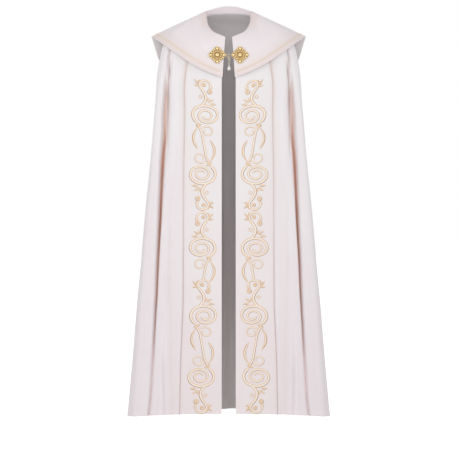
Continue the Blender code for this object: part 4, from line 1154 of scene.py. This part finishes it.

# ---- Collar, stand and braid ----

# A row for each soft dent of the collar: its line's place round the collar at the roll, how far
# that place moves to the lower edge, its middle as a share of the fall, its depth (a swell is
# negative), and its reach across and along.
DENT_COLUMNS = ("around", "lean", "middle", "depth", "width", "length")
COLLAR_DENTS = (
    (0.585, 0.44, 0.24, 0.0046, 0.042, 0.34),
    (0.455, 0.16, 0.50, -0.0032, 0.046, 0.26),
    (0.520, 0.05, 0.66, 0.0022, 0.030, 0.20),
    (0.270, -0.10, 0.45, 0.0034, 0.050, 0.30),
    (0.090, 0.04, 0.62, -0.0036, 0.060, 0.24),
    (-0.120, -0.06, 0.40, 0.0032, 0.048, 0.32),
    (-0.310, 0.08, 0.58, -0.0034, 0.050, 0.26),
    (-0.475, -0.12, 0.46, -0.0028, 0.044, 0.28),
    (-0.575, -0.47, 0.26, 0.0044, 0.045, 0.36),
    (-0.540, -0.06, 0.70, 0.0020, 0.028, 0.18),
)
DENT_START = 0.1             # share of the fall over which dents grow, where they end, and the fade
DENT_END = 0.84
DENT_FADE = 0.2
ROLL_SHADE = 0.36            # the roll's shade, strongest this far round, over this span
ROLL_SHADE_AT = 0.55
ROLL_SHADE_SPAN = 0.35
ROLL_SHADE_REACH = 0.022     # and how far it goes down the fall
STITCH_INSET = 0.0075        # the line of stitching's distance from the edge
STITCH_WIDTH = 0.0014
STITCH_SHADE = 0.18
MARGIN_SHADE = 0.26          # the shade of the padded edge, and how far up it reaches
MARGIN_REACH = 0.075
COLLAR_UV = (0.6, 0.3)       # the collar's and the stand's UV sizes in metres
STAND_UV = (0.3, 0.03)
STAND_LIFT = 0.0008          # the stand's foot above the body's neckline
STAND_ROWS = 7
GALLOON_INSET = 0.0156       # the braid's distance from the edge, its width and its last place
GALLOON_WIDTH = 0.0073
GALLOON_END = 0.985
GALLOON_COLUMNS = 9
GALLOON_RISE = 0.0003        # its thickness at the edges, and what it gains in the middle
GALLOON_BULGE = 0.0006
PLAIT_PLAIN = 0.6            # share of the bulge that the plait leaves even
PLAIT_ALONG = 0.55           # the plait's turn in radians from row to row, and across
PLAIT_ACROSS = 5.0

AROUND = np.linspace(1.0, -1.0, int(250 * FINE) | 1)
ROLL_PARTS = np.linspace(0.0, 1.0, 9)[:-1]
FALL_PARTS = np.concatenate((np.linspace(0.0, 0.86, int(46 * FINE)),
                             np.linspace(0.868, 0.99, int(26 * FINE)), [0.996, 1.0]))
ROLL_ROWS = len(ROLL_PARTS)


def collar_rows(form, parts):
    """Rows of a collar form, each at one part of its way."""
    return [form(AROUND, np.full(AROUND.shape, part)) for part in parts]


def collar_dents(around, down):
    """How deep the collar's soft dents are: each is a bell across its own leaning line and
    along it, exp(-a^2 - b^2), and all fade out before the braid."""
    depth = np.zeros(np.broadcast_shapes(around.shape, down.shape))
    for row in COLLAR_DENTS:
        dent = dict(zip(DENT_COLUMNS, row))
        across = (around - dent["around"] - dent["lean"] * down) / dent["width"]
        along = (down - dent["middle"]) / dent["length"]
        depth = depth + dent["depth"] * np.exp(-across ** 2 - along ** 2)
    return depth * smooth_step(down / DENT_START) * smooth_step((DENT_END - down) / DENT_FADE)


def collar_shade(outer):
    """The collar's soft shade: over its roll, deeper beside the neck opening, a bell along the
    line of stitching between the braid and the edge, and a margin that grows to the edge."""
    plain = np.stack(collar_rows(collar_fall, FALL_PARTS))
    from_edge = np.linalg.norm(plain - plain[-1], axis=-1)
    from_roll = np.linalg.norm(outer[ROLL_ROWS:] - outer[ROLL_ROWS], axis=-1)
    beside = smooth_step(1 - np.abs(np.abs(AROUND) - ROLL_SHADE_AT) / ROLL_SHADE_SPAN)
    roll = ROLL_SHADE * beside * np.exp(-(from_roll / ROLL_SHADE_REACH) ** 2)
    stitched = STITCH_SHADE * np.exp(-((from_edge - STITCH_INSET) / STITCH_WIDTH) ** 2)
    top = np.broadcast_to(ROLL_SHADE * beside, (ROLL_ROWS, len(AROUND)))
    margin = MARGIN_SHADE * smooth_step(1 - from_edge / MARGIN_REACH)
    return np.concatenate((top, np.clip(roll + stitched + margin, 0, 1)))


def make_collar():
    """The collar: the roll's rows, then the fall's with its dents taken along its normals.
    Gives the piece, and the top row of its points and normals."""
    outer = np.stack(collar_rows(collar_roll, ROLL_PARTS) + collar_rows(collar_fall, FALL_PARTS))
    dents = collar_dents(AROUND[None, :], FALL_PARTS[:, None])
    outer[ROLL_ROWS:] -= grid_normals(outer)[ROLL_ROWS:] * dents[..., None]
    normal = grid_normals(outer)
    count = len(outer)
    uv = np.stack(np.broadcast_arrays(AROUND[None, :] * COLLAR_UV[0],
                                      -np.arange(count)[:, None] * COLLAR_UV[1] / count), axis=-1)
    piece = cloth_wall("collar_cloth", outer, normal, COLLAR_CLOTH, uv, np.zeros(outer.shape[:2]),
                       collar_shade(outer), [COLLAR_SATIN, LINING])
    return piece, outer[0], normal[0]


def make_stand(roll_foot, roll_normal):
    """The stand under the collar's roll: a wall from the body's neckline up to the roll's foot."""
    top = roll_foot - np.array([0.0, 0.0, SEAM_GAP])
    inner_top = top - roll_normal * COLLAR_CLOTH
    rings = Rings(np.zeros((1, 1)))
    foot = body_point(AROUND[None, :] * rings.front_edge(), rings, ALL_FOLDS)[0][0]
    foot = foot + np.array([0.0, 0.0, STAND_LIFT])
    shift = (inner_top - top) * np.array([1.0, 1.0, 0.0])
    part = np.linspace(0, 1, STAND_ROWS)[:, None, None]
    inner = inner_top + (foot + shift - inner_top) * part
    uv = np.stack(np.broadcast_arrays(AROUND[None, :] * STAND_UV[0], -part[..., 0] * STAND_UV[1]),
                  axis=-1)
    piece = wall_piece("neck_stand", inner, top + (foot - top) * part, uv, [STAND])
    plain = twice(np.zeros(inner.shape[:2]))
    set_values(piece, fold=plain, shade=plain)
    return piece


def make_galloon():
    """The braid on the collar: a woven strip, bulged as the root of 1 - s^2 across it, with a
    plait of leaning sine waves along it."""
    around = np.linspace(GALLOON_END, -GALLOON_END, int(900 * FINE))
    across = np.linspace(0.0, 1.0, GALLOON_COLUMNS)
    insets = GALLOON_INSET + GALLOON_WIDTH * (1 - across)
    under = np.stack([collar_fall(around, down_at_inset(around, inset)) for inset in insets])
    normal = grid_normals(under)
    across = across[:, None]
    plait = np.abs(np.sin(np.arange(len(around))[None, :] * PLAIT_ALONG + across * PLAIT_ACROSS))
    bulge = np.sqrt(1 - (2 * across - 1) ** 2)
    rise = SEAM_GAP + GALLOON_RISE + GALLOON_BULGE * bulge * (PLAIT_PLAIN
                                                              + (1 - PLAIT_PLAIN) * plait)
    uv = np.stack(np.broadcast_arrays(around[None, :] * COLLAR_UV[0], across * GALLOON_WIDTH),
                  axis=-1)
    piece = wall_piece("galloon", under + normal * rise[..., None], under + normal * HALF_GAP, uv,
                       [BRAID])
    edge = np.broadcast_to(np.abs(2 * across - 1), rise.shape)
    set_values(piece, across=twice(edge), strong=twice(np.zeros(rise.shape)))
    return piece


pieces["collar_cloth"], *top_row = make_collar()
pieces["neck_stand"] = make_stand(*top_row)
galloon = make_galloon()
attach(galloon, "cope")
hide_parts("collar_galloon")

# Each cloth piece: its CAD node, the flat piece that it was cut from (width, length and area),
# how it is held and on what, the pieces on it, and its slot.
SHEETS = (
    ("back_cloth", "back_panel", 1.80, 1.56, 1.31, "hung", ["neck_stand"], [], "rose_satin"),
    ("front_cloth_left", "front_left", 0.42, 1.56, 0.449, "hung", ["neck_stand"], [],
     "rose_satin"),
    ("front_cloth_right", "front_right", 0.42, 1.56, 0.449, "hung", ["neck_stand"], [],
     "rose_satin"),
    ("orphrey_band_left", "orphrey_left", 0.15, 1.45, 0.194, "hung", ["neck_stand"],
     ["scrollwork_left"], "orphrey_satin"),
    ("orphrey_band_right", "orphrey_right", 0.15, 1.45, 0.194, "hung", ["neck_stand"],
     ["scrollwork_right"], "orphrey_satin"),
    ("collar_cloth", "cape_collar", 0.74, 0.64, 0.29, "folded", ["neck_stand"], ["galloon"],
     "rose_satin"),
    ("neck_stand", "neckband", 0.52, 0.022, 0.0086, "folded", [], [], "rose_satin"),
)
for name, node, width, length, area, held, rests_on, with_pieces, finish in SHEETS:
    piece = pieces[name]
    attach(piece, "cope")
    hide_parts(node)

# ---- Clasp ----

# Where the left plate lies: the middle of its back, and the way its face looks.
PLATE_PLACE = np.array([-0.0415, -0.13894, -0.17045])
PLATE_UP = np.array([0.02553, -0.95891, 0.28255])
PLATE_REACH = 0.0316
PLATE_TALL = 1.045           # the plate's height over its width
PLATE_BODY = 0.80            # the round body, and the lobes' middle and radius, in reaches
LOBE_PLACE = 0.66
LOBE_RADIUS = 0.34
PLATE_TIP = 0.0008           # height on the plate at which the fastening's wires start
WIRE = 0.0008                # radius of the clasp's wire and of the chain's
SMALL_WIRE = 0.0006
GROUND = 0.0011              # top of the plate's ground, which the metal darkens as painted shade
GROUND_RINGS = (0.25, 0.5, 0.8, 0.97)
GROUND_FOOT = 0.98           # share of the outline at its back
PETALS = (                   # on each lobe: place out, place across, half length and width, turn
    (0.0240, 0.0, 0.0056, 0.0048, 0.0),
    (0.0205, 0.0092, 0.0044, 0.0027, 42.0),
    (0.0205, -0.0092, 0.0044, 0.0027, -42.0),
)
PETAL_RISE = 0.0030
BUDS = (                     # on each lobe and between the lobes: turn, place out, half sizes
    (0.0, 0.0160, 0.0017, 0.0024, 0.0022),
    (45.0, 0.0196, 0.0036, 0.0030, 0.0026),
)
CURL_RADIUS = 0.0034         # the curled wires on a lobe: first radius, middle, height and wire
CURL_PLACE = (0.0150, 0.0062, 0.0019)
CURL_WIRE = 0.0007
CURL_FALL = 0.7              # share of its radius that it loses, and its bend in half turns
CURL_BEND = (0.1, 2.2)
CURL_POINTS = 28
RIM_POINTS = 144
RIM = (0.965, 0.0015, 0.0010)        # the rim's share of the outline, height and wire
BOSS_RING = (0.0126, 0.0020, 0.0009)         # the ring's radius, height and wire
BEADS = (12, 0.0104, 0.0006, 0.0009)         # beads: how many, place out, radius and rise
BOSS = (0.0066, 0.0042)      # the boss's radius and rise
GROUND_SHADE = (0.0010, 0.0060)       # heights at which the ground's painted shade is darkest and lightest
DOME_SHADE = (0.9, 0.7)       # a dome's painted shade: how far below its foot it is darkest and above it lightest
WIRE_SHADE = (1.2, 0.8)       # and a wire's, how far from its middle, in its radii


def plate_outline(angle):
    """The plate's outline as a radius: a round body, and a round lobe on each axis."""
    quarter = math.pi / 2
    away = (angle + quarter / 2) % quarter - quarter / 2
    room = LOBE_RADIUS ** 2 - (LOBE_PLACE * np.sin(away)) ** 2
    lobe = LOBE_PLACE * np.cos(away) + np.sqrt(np.clip(room, 0, None))
    return PLATE_REACH * np.maximum(np.where(room > 0, lobe, 0.0), PLATE_BODY)


class Gilding(Parts):
    """Small forms on a plate, each with its height for the metal's painted shade in its recesses.
    """

    def __init__(self):
        super().__init__()
        self.heights = []

    def put(self, points, faces, low, high):
        """Adds a form; its points' heights, shares between a recess and a top, set its painted
        shade.
        """
        points = np.asarray(points, dtype=float).reshape(-1, 3)
        self.add(points, faces)
        self.heights.append(np.clip((points[:, 2] - low) / (high - low), 0, 1))

    def dome(self, x, y, z, rx, ry, rz, angle=0.0, rings=6, sides=14):
        """Half an ellipsoid on its own foot, turned about Z."""
        down = np.linspace(0, math.pi / 2, rings + 1)
        profile = [(math.sin(a), math.cos(a)) for a in down] + [(0.0, 0.0)]
        points, faces = turned(profile, sides)
        points = points * [rx, ry, rz]
        c, s = math.cos(angle), math.sin(angle)
        points = np.stack((points[:, 0] * c - points[:, 1] * s + x,
                           points[:, 0] * s + points[:, 1] * c + y, points[:, 2] + z), axis=-1)
        self.put(points, faces, z - rz * DOME_SHADE[0], z + rz * DOME_SHADE[1])

    def wire(self, path, radius, closed=False, sides=8):
        """Round wire along a path in the plate's plane."""
        points, faces = tube(path, radius, sides, closed, np.array([0.0, 0.0, 1.0]))
        middle = float(np.mean(np.asarray(path)[:, 2]))
        self.put(points, faces, middle - radius * WIRE_SHADE[0], middle + radius * WIRE_SHADE[1])


def plate_ground(outline, angle):
    """The plate's ground: rings of points from its middle to its edge, and a flat back."""
    count, rings = len(angle), len(GROUND_RINGS)
    grid = [circle(angle, outline * share, GROUND) for share in GROUND_RINGS]
    points = np.concatenate([[[0.0, 0.0, GROUND]]] + grid
                            + [circle(angle, outline * GROUND_FOOT), [[0.0, 0.0, 0.0]]])
    faces = []
    last = len(points) - 1
    for k in range(count):
        n = (k + 1) % count
        faces.append([0, 1 + k, 1 + n])
        faces.extend([1 + i * count + k, 1 + (i + 1) * count + k, 1 + (i + 1) * count + n,
                      1 + i * count + n] for i in range(rings))
        faces.append([last, last - count + n, last - count + k])
    return points, faces


def plate_lobe(forms, turn):
    """One lobe's petals, bud and two curled wires, and the bud beside the lobe. A curl's radius
    falls evenly while it bends evenly."""
    c, s = math.cos(turn), math.sin(turn)
    for out, across, long, wide, tilt in PETALS:
        forms.dome(out * c - across * s, out * s + across * c, GROUND, long, wide, PETAL_RISE,
                   turn + math.radians(tilt))
    for tilt, out, long, wide, rise in BUDS:
        way = turn + math.radians(tilt)
        forms.dome(out * math.cos(way), out * math.sin(way), GROUND, long, wide, rise, way)
    t = np.linspace(0, 1, CURL_POINTS)
    curl = CURL_RADIUS * (1 - CURL_FALL * t)
    bend = math.pi * (CURL_BEND[0] + CURL_BEND[1] * t)
    for side in (-1, 1):
        out = CURL_PLACE[0] + curl * np.cos(bend)
        across = side * (CURL_PLACE[1] + curl * np.sin(bend))
        forms.wire(np.stack((out * c - across * s, out * s + across * c,
                             np.full_like(t, CURL_PLACE[2])), axis=-1), CURL_WIRE)


def plate_forms():
    """The filigree in the plate's own axes, over a ground in painted shade: a rim of wire, petals
    and curled wires on each lobe, a bud between the lobes, and a boss in a ring with beads round
    it."""
    forms = Gilding()
    angle = np.linspace(0, 2 * math.pi, RIM_POINTS + 1)[:-1]
    outline = plate_outline(angle)
    forms.put(*plate_ground(outline, angle), *GROUND_SHADE)
    forms.wire(circle(angle, outline * RIM[0], RIM[1]), RIM[2], True)
    for k in range(4):
        plate_lobe(forms, k * math.pi / 2)
    forms.wire(circle(angle, *BOSS_RING[:2]), BOSS_RING[2], True)
    count, out, radius, rise = BEADS
    for k in range(count):
        way = k * 2 * math.pi / count
        forms.dome(out * math.cos(way), out * math.sin(way), GROUND, radius, radius, rise,
                   0.0, 3, 8)
    forms.dome(0.0, 0.0, GROUND, BOSS[0], BOSS[0], BOSS[1], 0.0, 8, 28)
    stretch = np.array([1.0, PLATE_TALL, 1.0])
    forms.points = [points * stretch for points in forms.points]
    return forms


def make_plate(name, side, node):
    """A clasp plate, its forms set on the collar. Gives its inner tip."""
    forms = plate_forms()
    mirror = np.array([-side, 1.0, 1.0])
    place, up = PLATE_PLACE * mirror, PLATE_UP * mirror
    level = np.cross([0.0, 0.0, 1.0], up)
    level /= np.linalg.norm(level)
    axes = np.stack((level, np.cross(up, level), up))
    forms.points = [place + points @ axes for points in forms.points]
    piece = forms.mesh(name, GOLD, SHARP_METAL)
    # each form's painted shade, dark in its recess and light at its top
    set_values(piece, height=np.concatenate(forms.heights))
    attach(piece, "cope")
    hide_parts(node)
    return place - side * level * PLATE_REACH + up * PLATE_TIP


def metal_piece(name, points, faces, material, body, node, slot):
    """A piece of wire or turned metal that stands for its CAD node."""
    piece = new_mesh(name, points, faces, [material], np.zeros((len(points), 2)), None,
                     SHARP_METAL)
    set_values(piece, height=np.ones(len(points)))
    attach(piece, body)
    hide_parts(node)
    return piece


EYE_X = 0.0010               # the eye's middle and radius
EYE_Z = -0.1736
EYE_RADIUS = 0.0060
EYE_ANGLES = (-20.0, -325.0, 48)     # degrees at which the eye starts and ends, and its points
HOOK_ANGLES = (-90.0, 60.0, 16)
PLATE_Z = -0.1705            # height at which the wires leave the plates
RING_YAW = 50.0              # the pendant's ring, turned in degrees about the upright
WIRE_SIDES = 12
left_tip = make_plate("filigree_left", -1, "clasp_plate_left")
right_tip = make_plate("filigree_right", 1, "clasp_plate_right")
EYE = np.array([EYE_X, (left_tip[1] + right_tip[1]) / 2, EYE_Z])


def make_fastening():
    """The eye's wire goes round from the right plate; the hook from the left plate goes round
    the eye's wire."""
    angle = np.radians(np.linspace(*EYE_ANGLES))
    loop = EYE + EYE_RADIUS * circle(angle)[:, [0, 2, 1]]
    knee = (EYE[0] + EYE_RADIUS + 2 * WIRE, EYE[1], PLATE_Z)
    tail = (right_tip[0] - SEAM_GAP, EYE[1], PLATE_Z)
    metal_piece("eye_wire", *tube(np.concatenate((loop, [knee, tail])), WIRE, WIRE_SIDES), GOLD,
                "cope", "clasp_eye", "clasp_gold")
    bend = 2 * WIRE + SEAM_GAP
    held = np.array([EYE[0] - EYE_RADIUS, EYE[1], EYE_Z])
    angle = np.radians(np.linspace(*HOOK_ANGLES))
    hook = held + bend * circle(angle)
    shank = (left_tip[0] + SEAM_GAP + WIRE / 2, left_tip[1], PLATE_Z)
    elbow = (left_tip[0] + 3 * WIRE, left_tip[1] - bend, (PLATE_Z + EYE_Z) / 2)
    metal_piece("hook_wire", *tube(np.concatenate(([shank, elbow], hook)), WIRE, WIRE_SIDES), GOLD,
                "cope", "clasp_hook", "clasp_gold")


def upright_ring(centre, radius, yaw, count=40):
    """An upright ring's path, its plane turned about Z."""
    angle = np.arange(count) * 2 * math.pi / count
    turn = math.radians(yaw)
    level = radius * np.cos(angle)
    return np.stack((centre[0] + level * math.cos(turn), centre[1] + level * math.sin(turn),
                     centre[2] + radius * np.sin(angle)), axis=-1)


# The chain from the eye down, a row for each ring: its node, its piece, its radius and its wire's,
# its turn in degrees against the first, its material and slot.
CHAIN = (
    ("pendant_ring", "ring_wire", 0.0046, WIRE, 0, GOLD, "clasp_gold"),
    ("chain_link_1", "link_wire_1", 0.0031, SMALL_WIRE, 90, PALE, "pale_metal"),
    ("chain_link_2", "link_wire_2", 0.0031, SMALL_WIRE, 180, PALE, "pale_metal"),
    ("chain_link_3", "link_wire_3", 0.0031, SMALL_WIRE, 270, PALE, "pale_metal"),
    ("pendant_bail", "bail_wire", 0.0022, SMALL_WIRE, 360, PALE, "pale_metal"),
)
CAP_PROFILE = (              # radius and height from the cap's top
    (0.0, 0.0), (0.0016, 0.0), (0.0020, -0.0006), (0.0018, -0.0010), (0.0026, -0.0014),
    (0.0036, -0.0021), (0.0044, -0.0029), (0.0051, -0.0038), (0.0055, -0.0044),
    (0.0058, -0.0047), (0.0058, -0.0052), (0.0054, -0.0055), (0.0056, -0.0062), (0.0, -0.0062),
)
CAP_HEIGHT = 0.0062
PEARL_RADIUS = 0.0068        # the pearl: widest radius, height, and how pear-shaped it is
PEARL_HEIGHT = 0.0165
PEARL_SWELL = 0.16
TURNED_SIDES = 40


def make_pendant():
    """The chain from the eye, ring in ring, then the cap and the pearl. The pearl's radius is
    sin(a) (1 - swell cos(a)) from its top to its foot."""
    bottom, held = EYE[2] - EYE_RADIUS, WIRE
    for node, name, radius, wire, yaw, material, slot in CHAIN:
        centre = bottom + held + wire + SEAM_GAP - radius
        path = upright_ring((EYE[0], EYE[1], centre), radius, RING_YAW + yaw)
        metal_piece(name, *tube(path, wire, WIRE_SIDES, True), material, "pendant", node, slot)
        bottom, held = centre - radius, wire
    middle = np.array([EYE[0], EYE[1], 0.0])
    top = bottom - SMALL_WIRE - SEAM_GAP
    points, faces = turned([(r, top + h) for r, h in CAP_PROFILE], TURNED_SIDES)
    metal_piece("cap_turned", points + middle, faces, PALE, "pendant", "pendant_cap",
                "pale_metal")
    top -= CAP_HEIGHT + SEAM_GAP
    down = np.linspace(0.0, math.pi, 25)
    radius = PEARL_RADIUS * np.sin(down) * (1.0 - PEARL_SWELL * np.cos(down))
    height = top - PEARL_HEIGHT * (1 - np.cos(down)) / 2
    points, faces = turned(list(zip(radius, height)), TURNED_SIDES)
    metal_piece("pearl_drop", points + middle, faces, PEARL, "pendant", "pendant_drop", "pearl")


make_fastening()
make_pendant()

# ---- Floor, light and camera ----

FLOOR_Z = -1.62
FLOOR_SIZE = 60.0            # half its width
FLOOR_GLOW = 0.75            # the floor's own light, to the eye alone
WORLD_LIGHT = 0.50           # the white surroundings' strength as light, and in reflections
WORLD_SHINE = 0.75
BODY_MIDDLE = (0.0, 0.0, -0.8)
LIGHTS = (                   # name, place, aim, size and power
    ("front_soft", (-0.4, -4.3, 1.0), (0.0, 0.0, -0.7), 3.0, 38.5),
    ("camera_soft", (0.0, -7.4, -0.5), BODY_MIDDLE, 0.7, 28.0),
    ("side_soft_left", (-4.6, -2.2, 1.0), BODY_MIDDLE, 2.4, 67.0),
    ("side_soft_right", (4.6, -2.2, 1.0), BODY_MIDDLE, 2.4, 67.0),
)
LENS = 170.0
SENSOR = 36.0
CAMERA_PLACE = (0.0011, -8.0, -0.803)


def make_floor():
    """A plain pale floor below the hem."""
    corners = [(x * FLOOR_SIZE, y * FLOOR_SIZE, FLOOR_Z)
               for x, y in ((-1, -1), (1, -1), (1, 1), (-1, 1))]
    material, tree, shader = new_material("floor_white", roughness=0.8)
    shader["Base Color"].default_value = (0.80, 0.80, 0.80, 1.0)
    shader["Emission Color"].default_value = (1.0, 1.0, 1.0, 1.0)
    eye = tree.nodes.new("ShaderNodeLightPath").outputs["Is Camera Ray"]
    tree.links.new(math_node(tree, "MULTIPLY", eye, FLOOR_GLOW), shader["Emission Strength"])
    new_mesh("floor", corners, [(0, 1, 2, 3)], [material])


def add_light(name, place, aim, size, power):
    """A square area light that looks at a point."""
    data = bpy.data.lights.new(name, "AREA")
    data.size, data.energy = size, power
    light = bpy.data.objects.new(name, data)
    light.location = place
    away = np.array(place) - np.array(aim)
    flat = math.hypot(away[0], away[1])
    light.rotation_euler = (math.atan2(flat, away[2]), 0.0, math.atan2(away[0], -away[1]))
    bpy.context.scene.collection.objects.link(light)


def make_world():
    """White all round: full strength to the eye, less in reflections, least as light."""
    world = bpy.data.worlds.new("white_studio")
    world.use_nodes = True
    tree = world.node_tree
    white = tree.nodes["Background"].inputs
    path = tree.nodes.new("ShaderNodeLightPath").outputs
    eye = math_node(tree, "MULTIPLY", path["Is Camera Ray"], 1.0 - WORLD_LIGHT)
    shine = math_node(tree, "MULTIPLY", path["Is Glossy Ray"], WORLD_SHINE - WORLD_LIGHT)
    extra = math_node(tree, "ADD", eye, shine)
    tree.links.new(math_node(tree, "ADD", extra, WORLD_LIGHT), white["Strength"])
    white["Color"].default_value = (1.0, 1.0, 1.0, 1.0)
    bpy.context.scene.world = world


def make_camera():
    """The camera, level and square to the front."""
    data = bpy.data.cameras.new("camera")
    data.lens, data.sensor_width = LENS, SENSOR
    camera = bpy.data.objects.new("camera", data)
    camera.location = CAMERA_PLACE
    camera.rotation_euler = (math.pi / 2, 0.0, 0.0)
    bpy.context.scene.collection.objects.link(camera)
    bpy.context.scene.camera = camera
    bpy.context.scene.view_settings.view_transform = "Standard"


make_floor()
make_world()
for row in LIGHTS:
    add_light(*row)
make_camera()
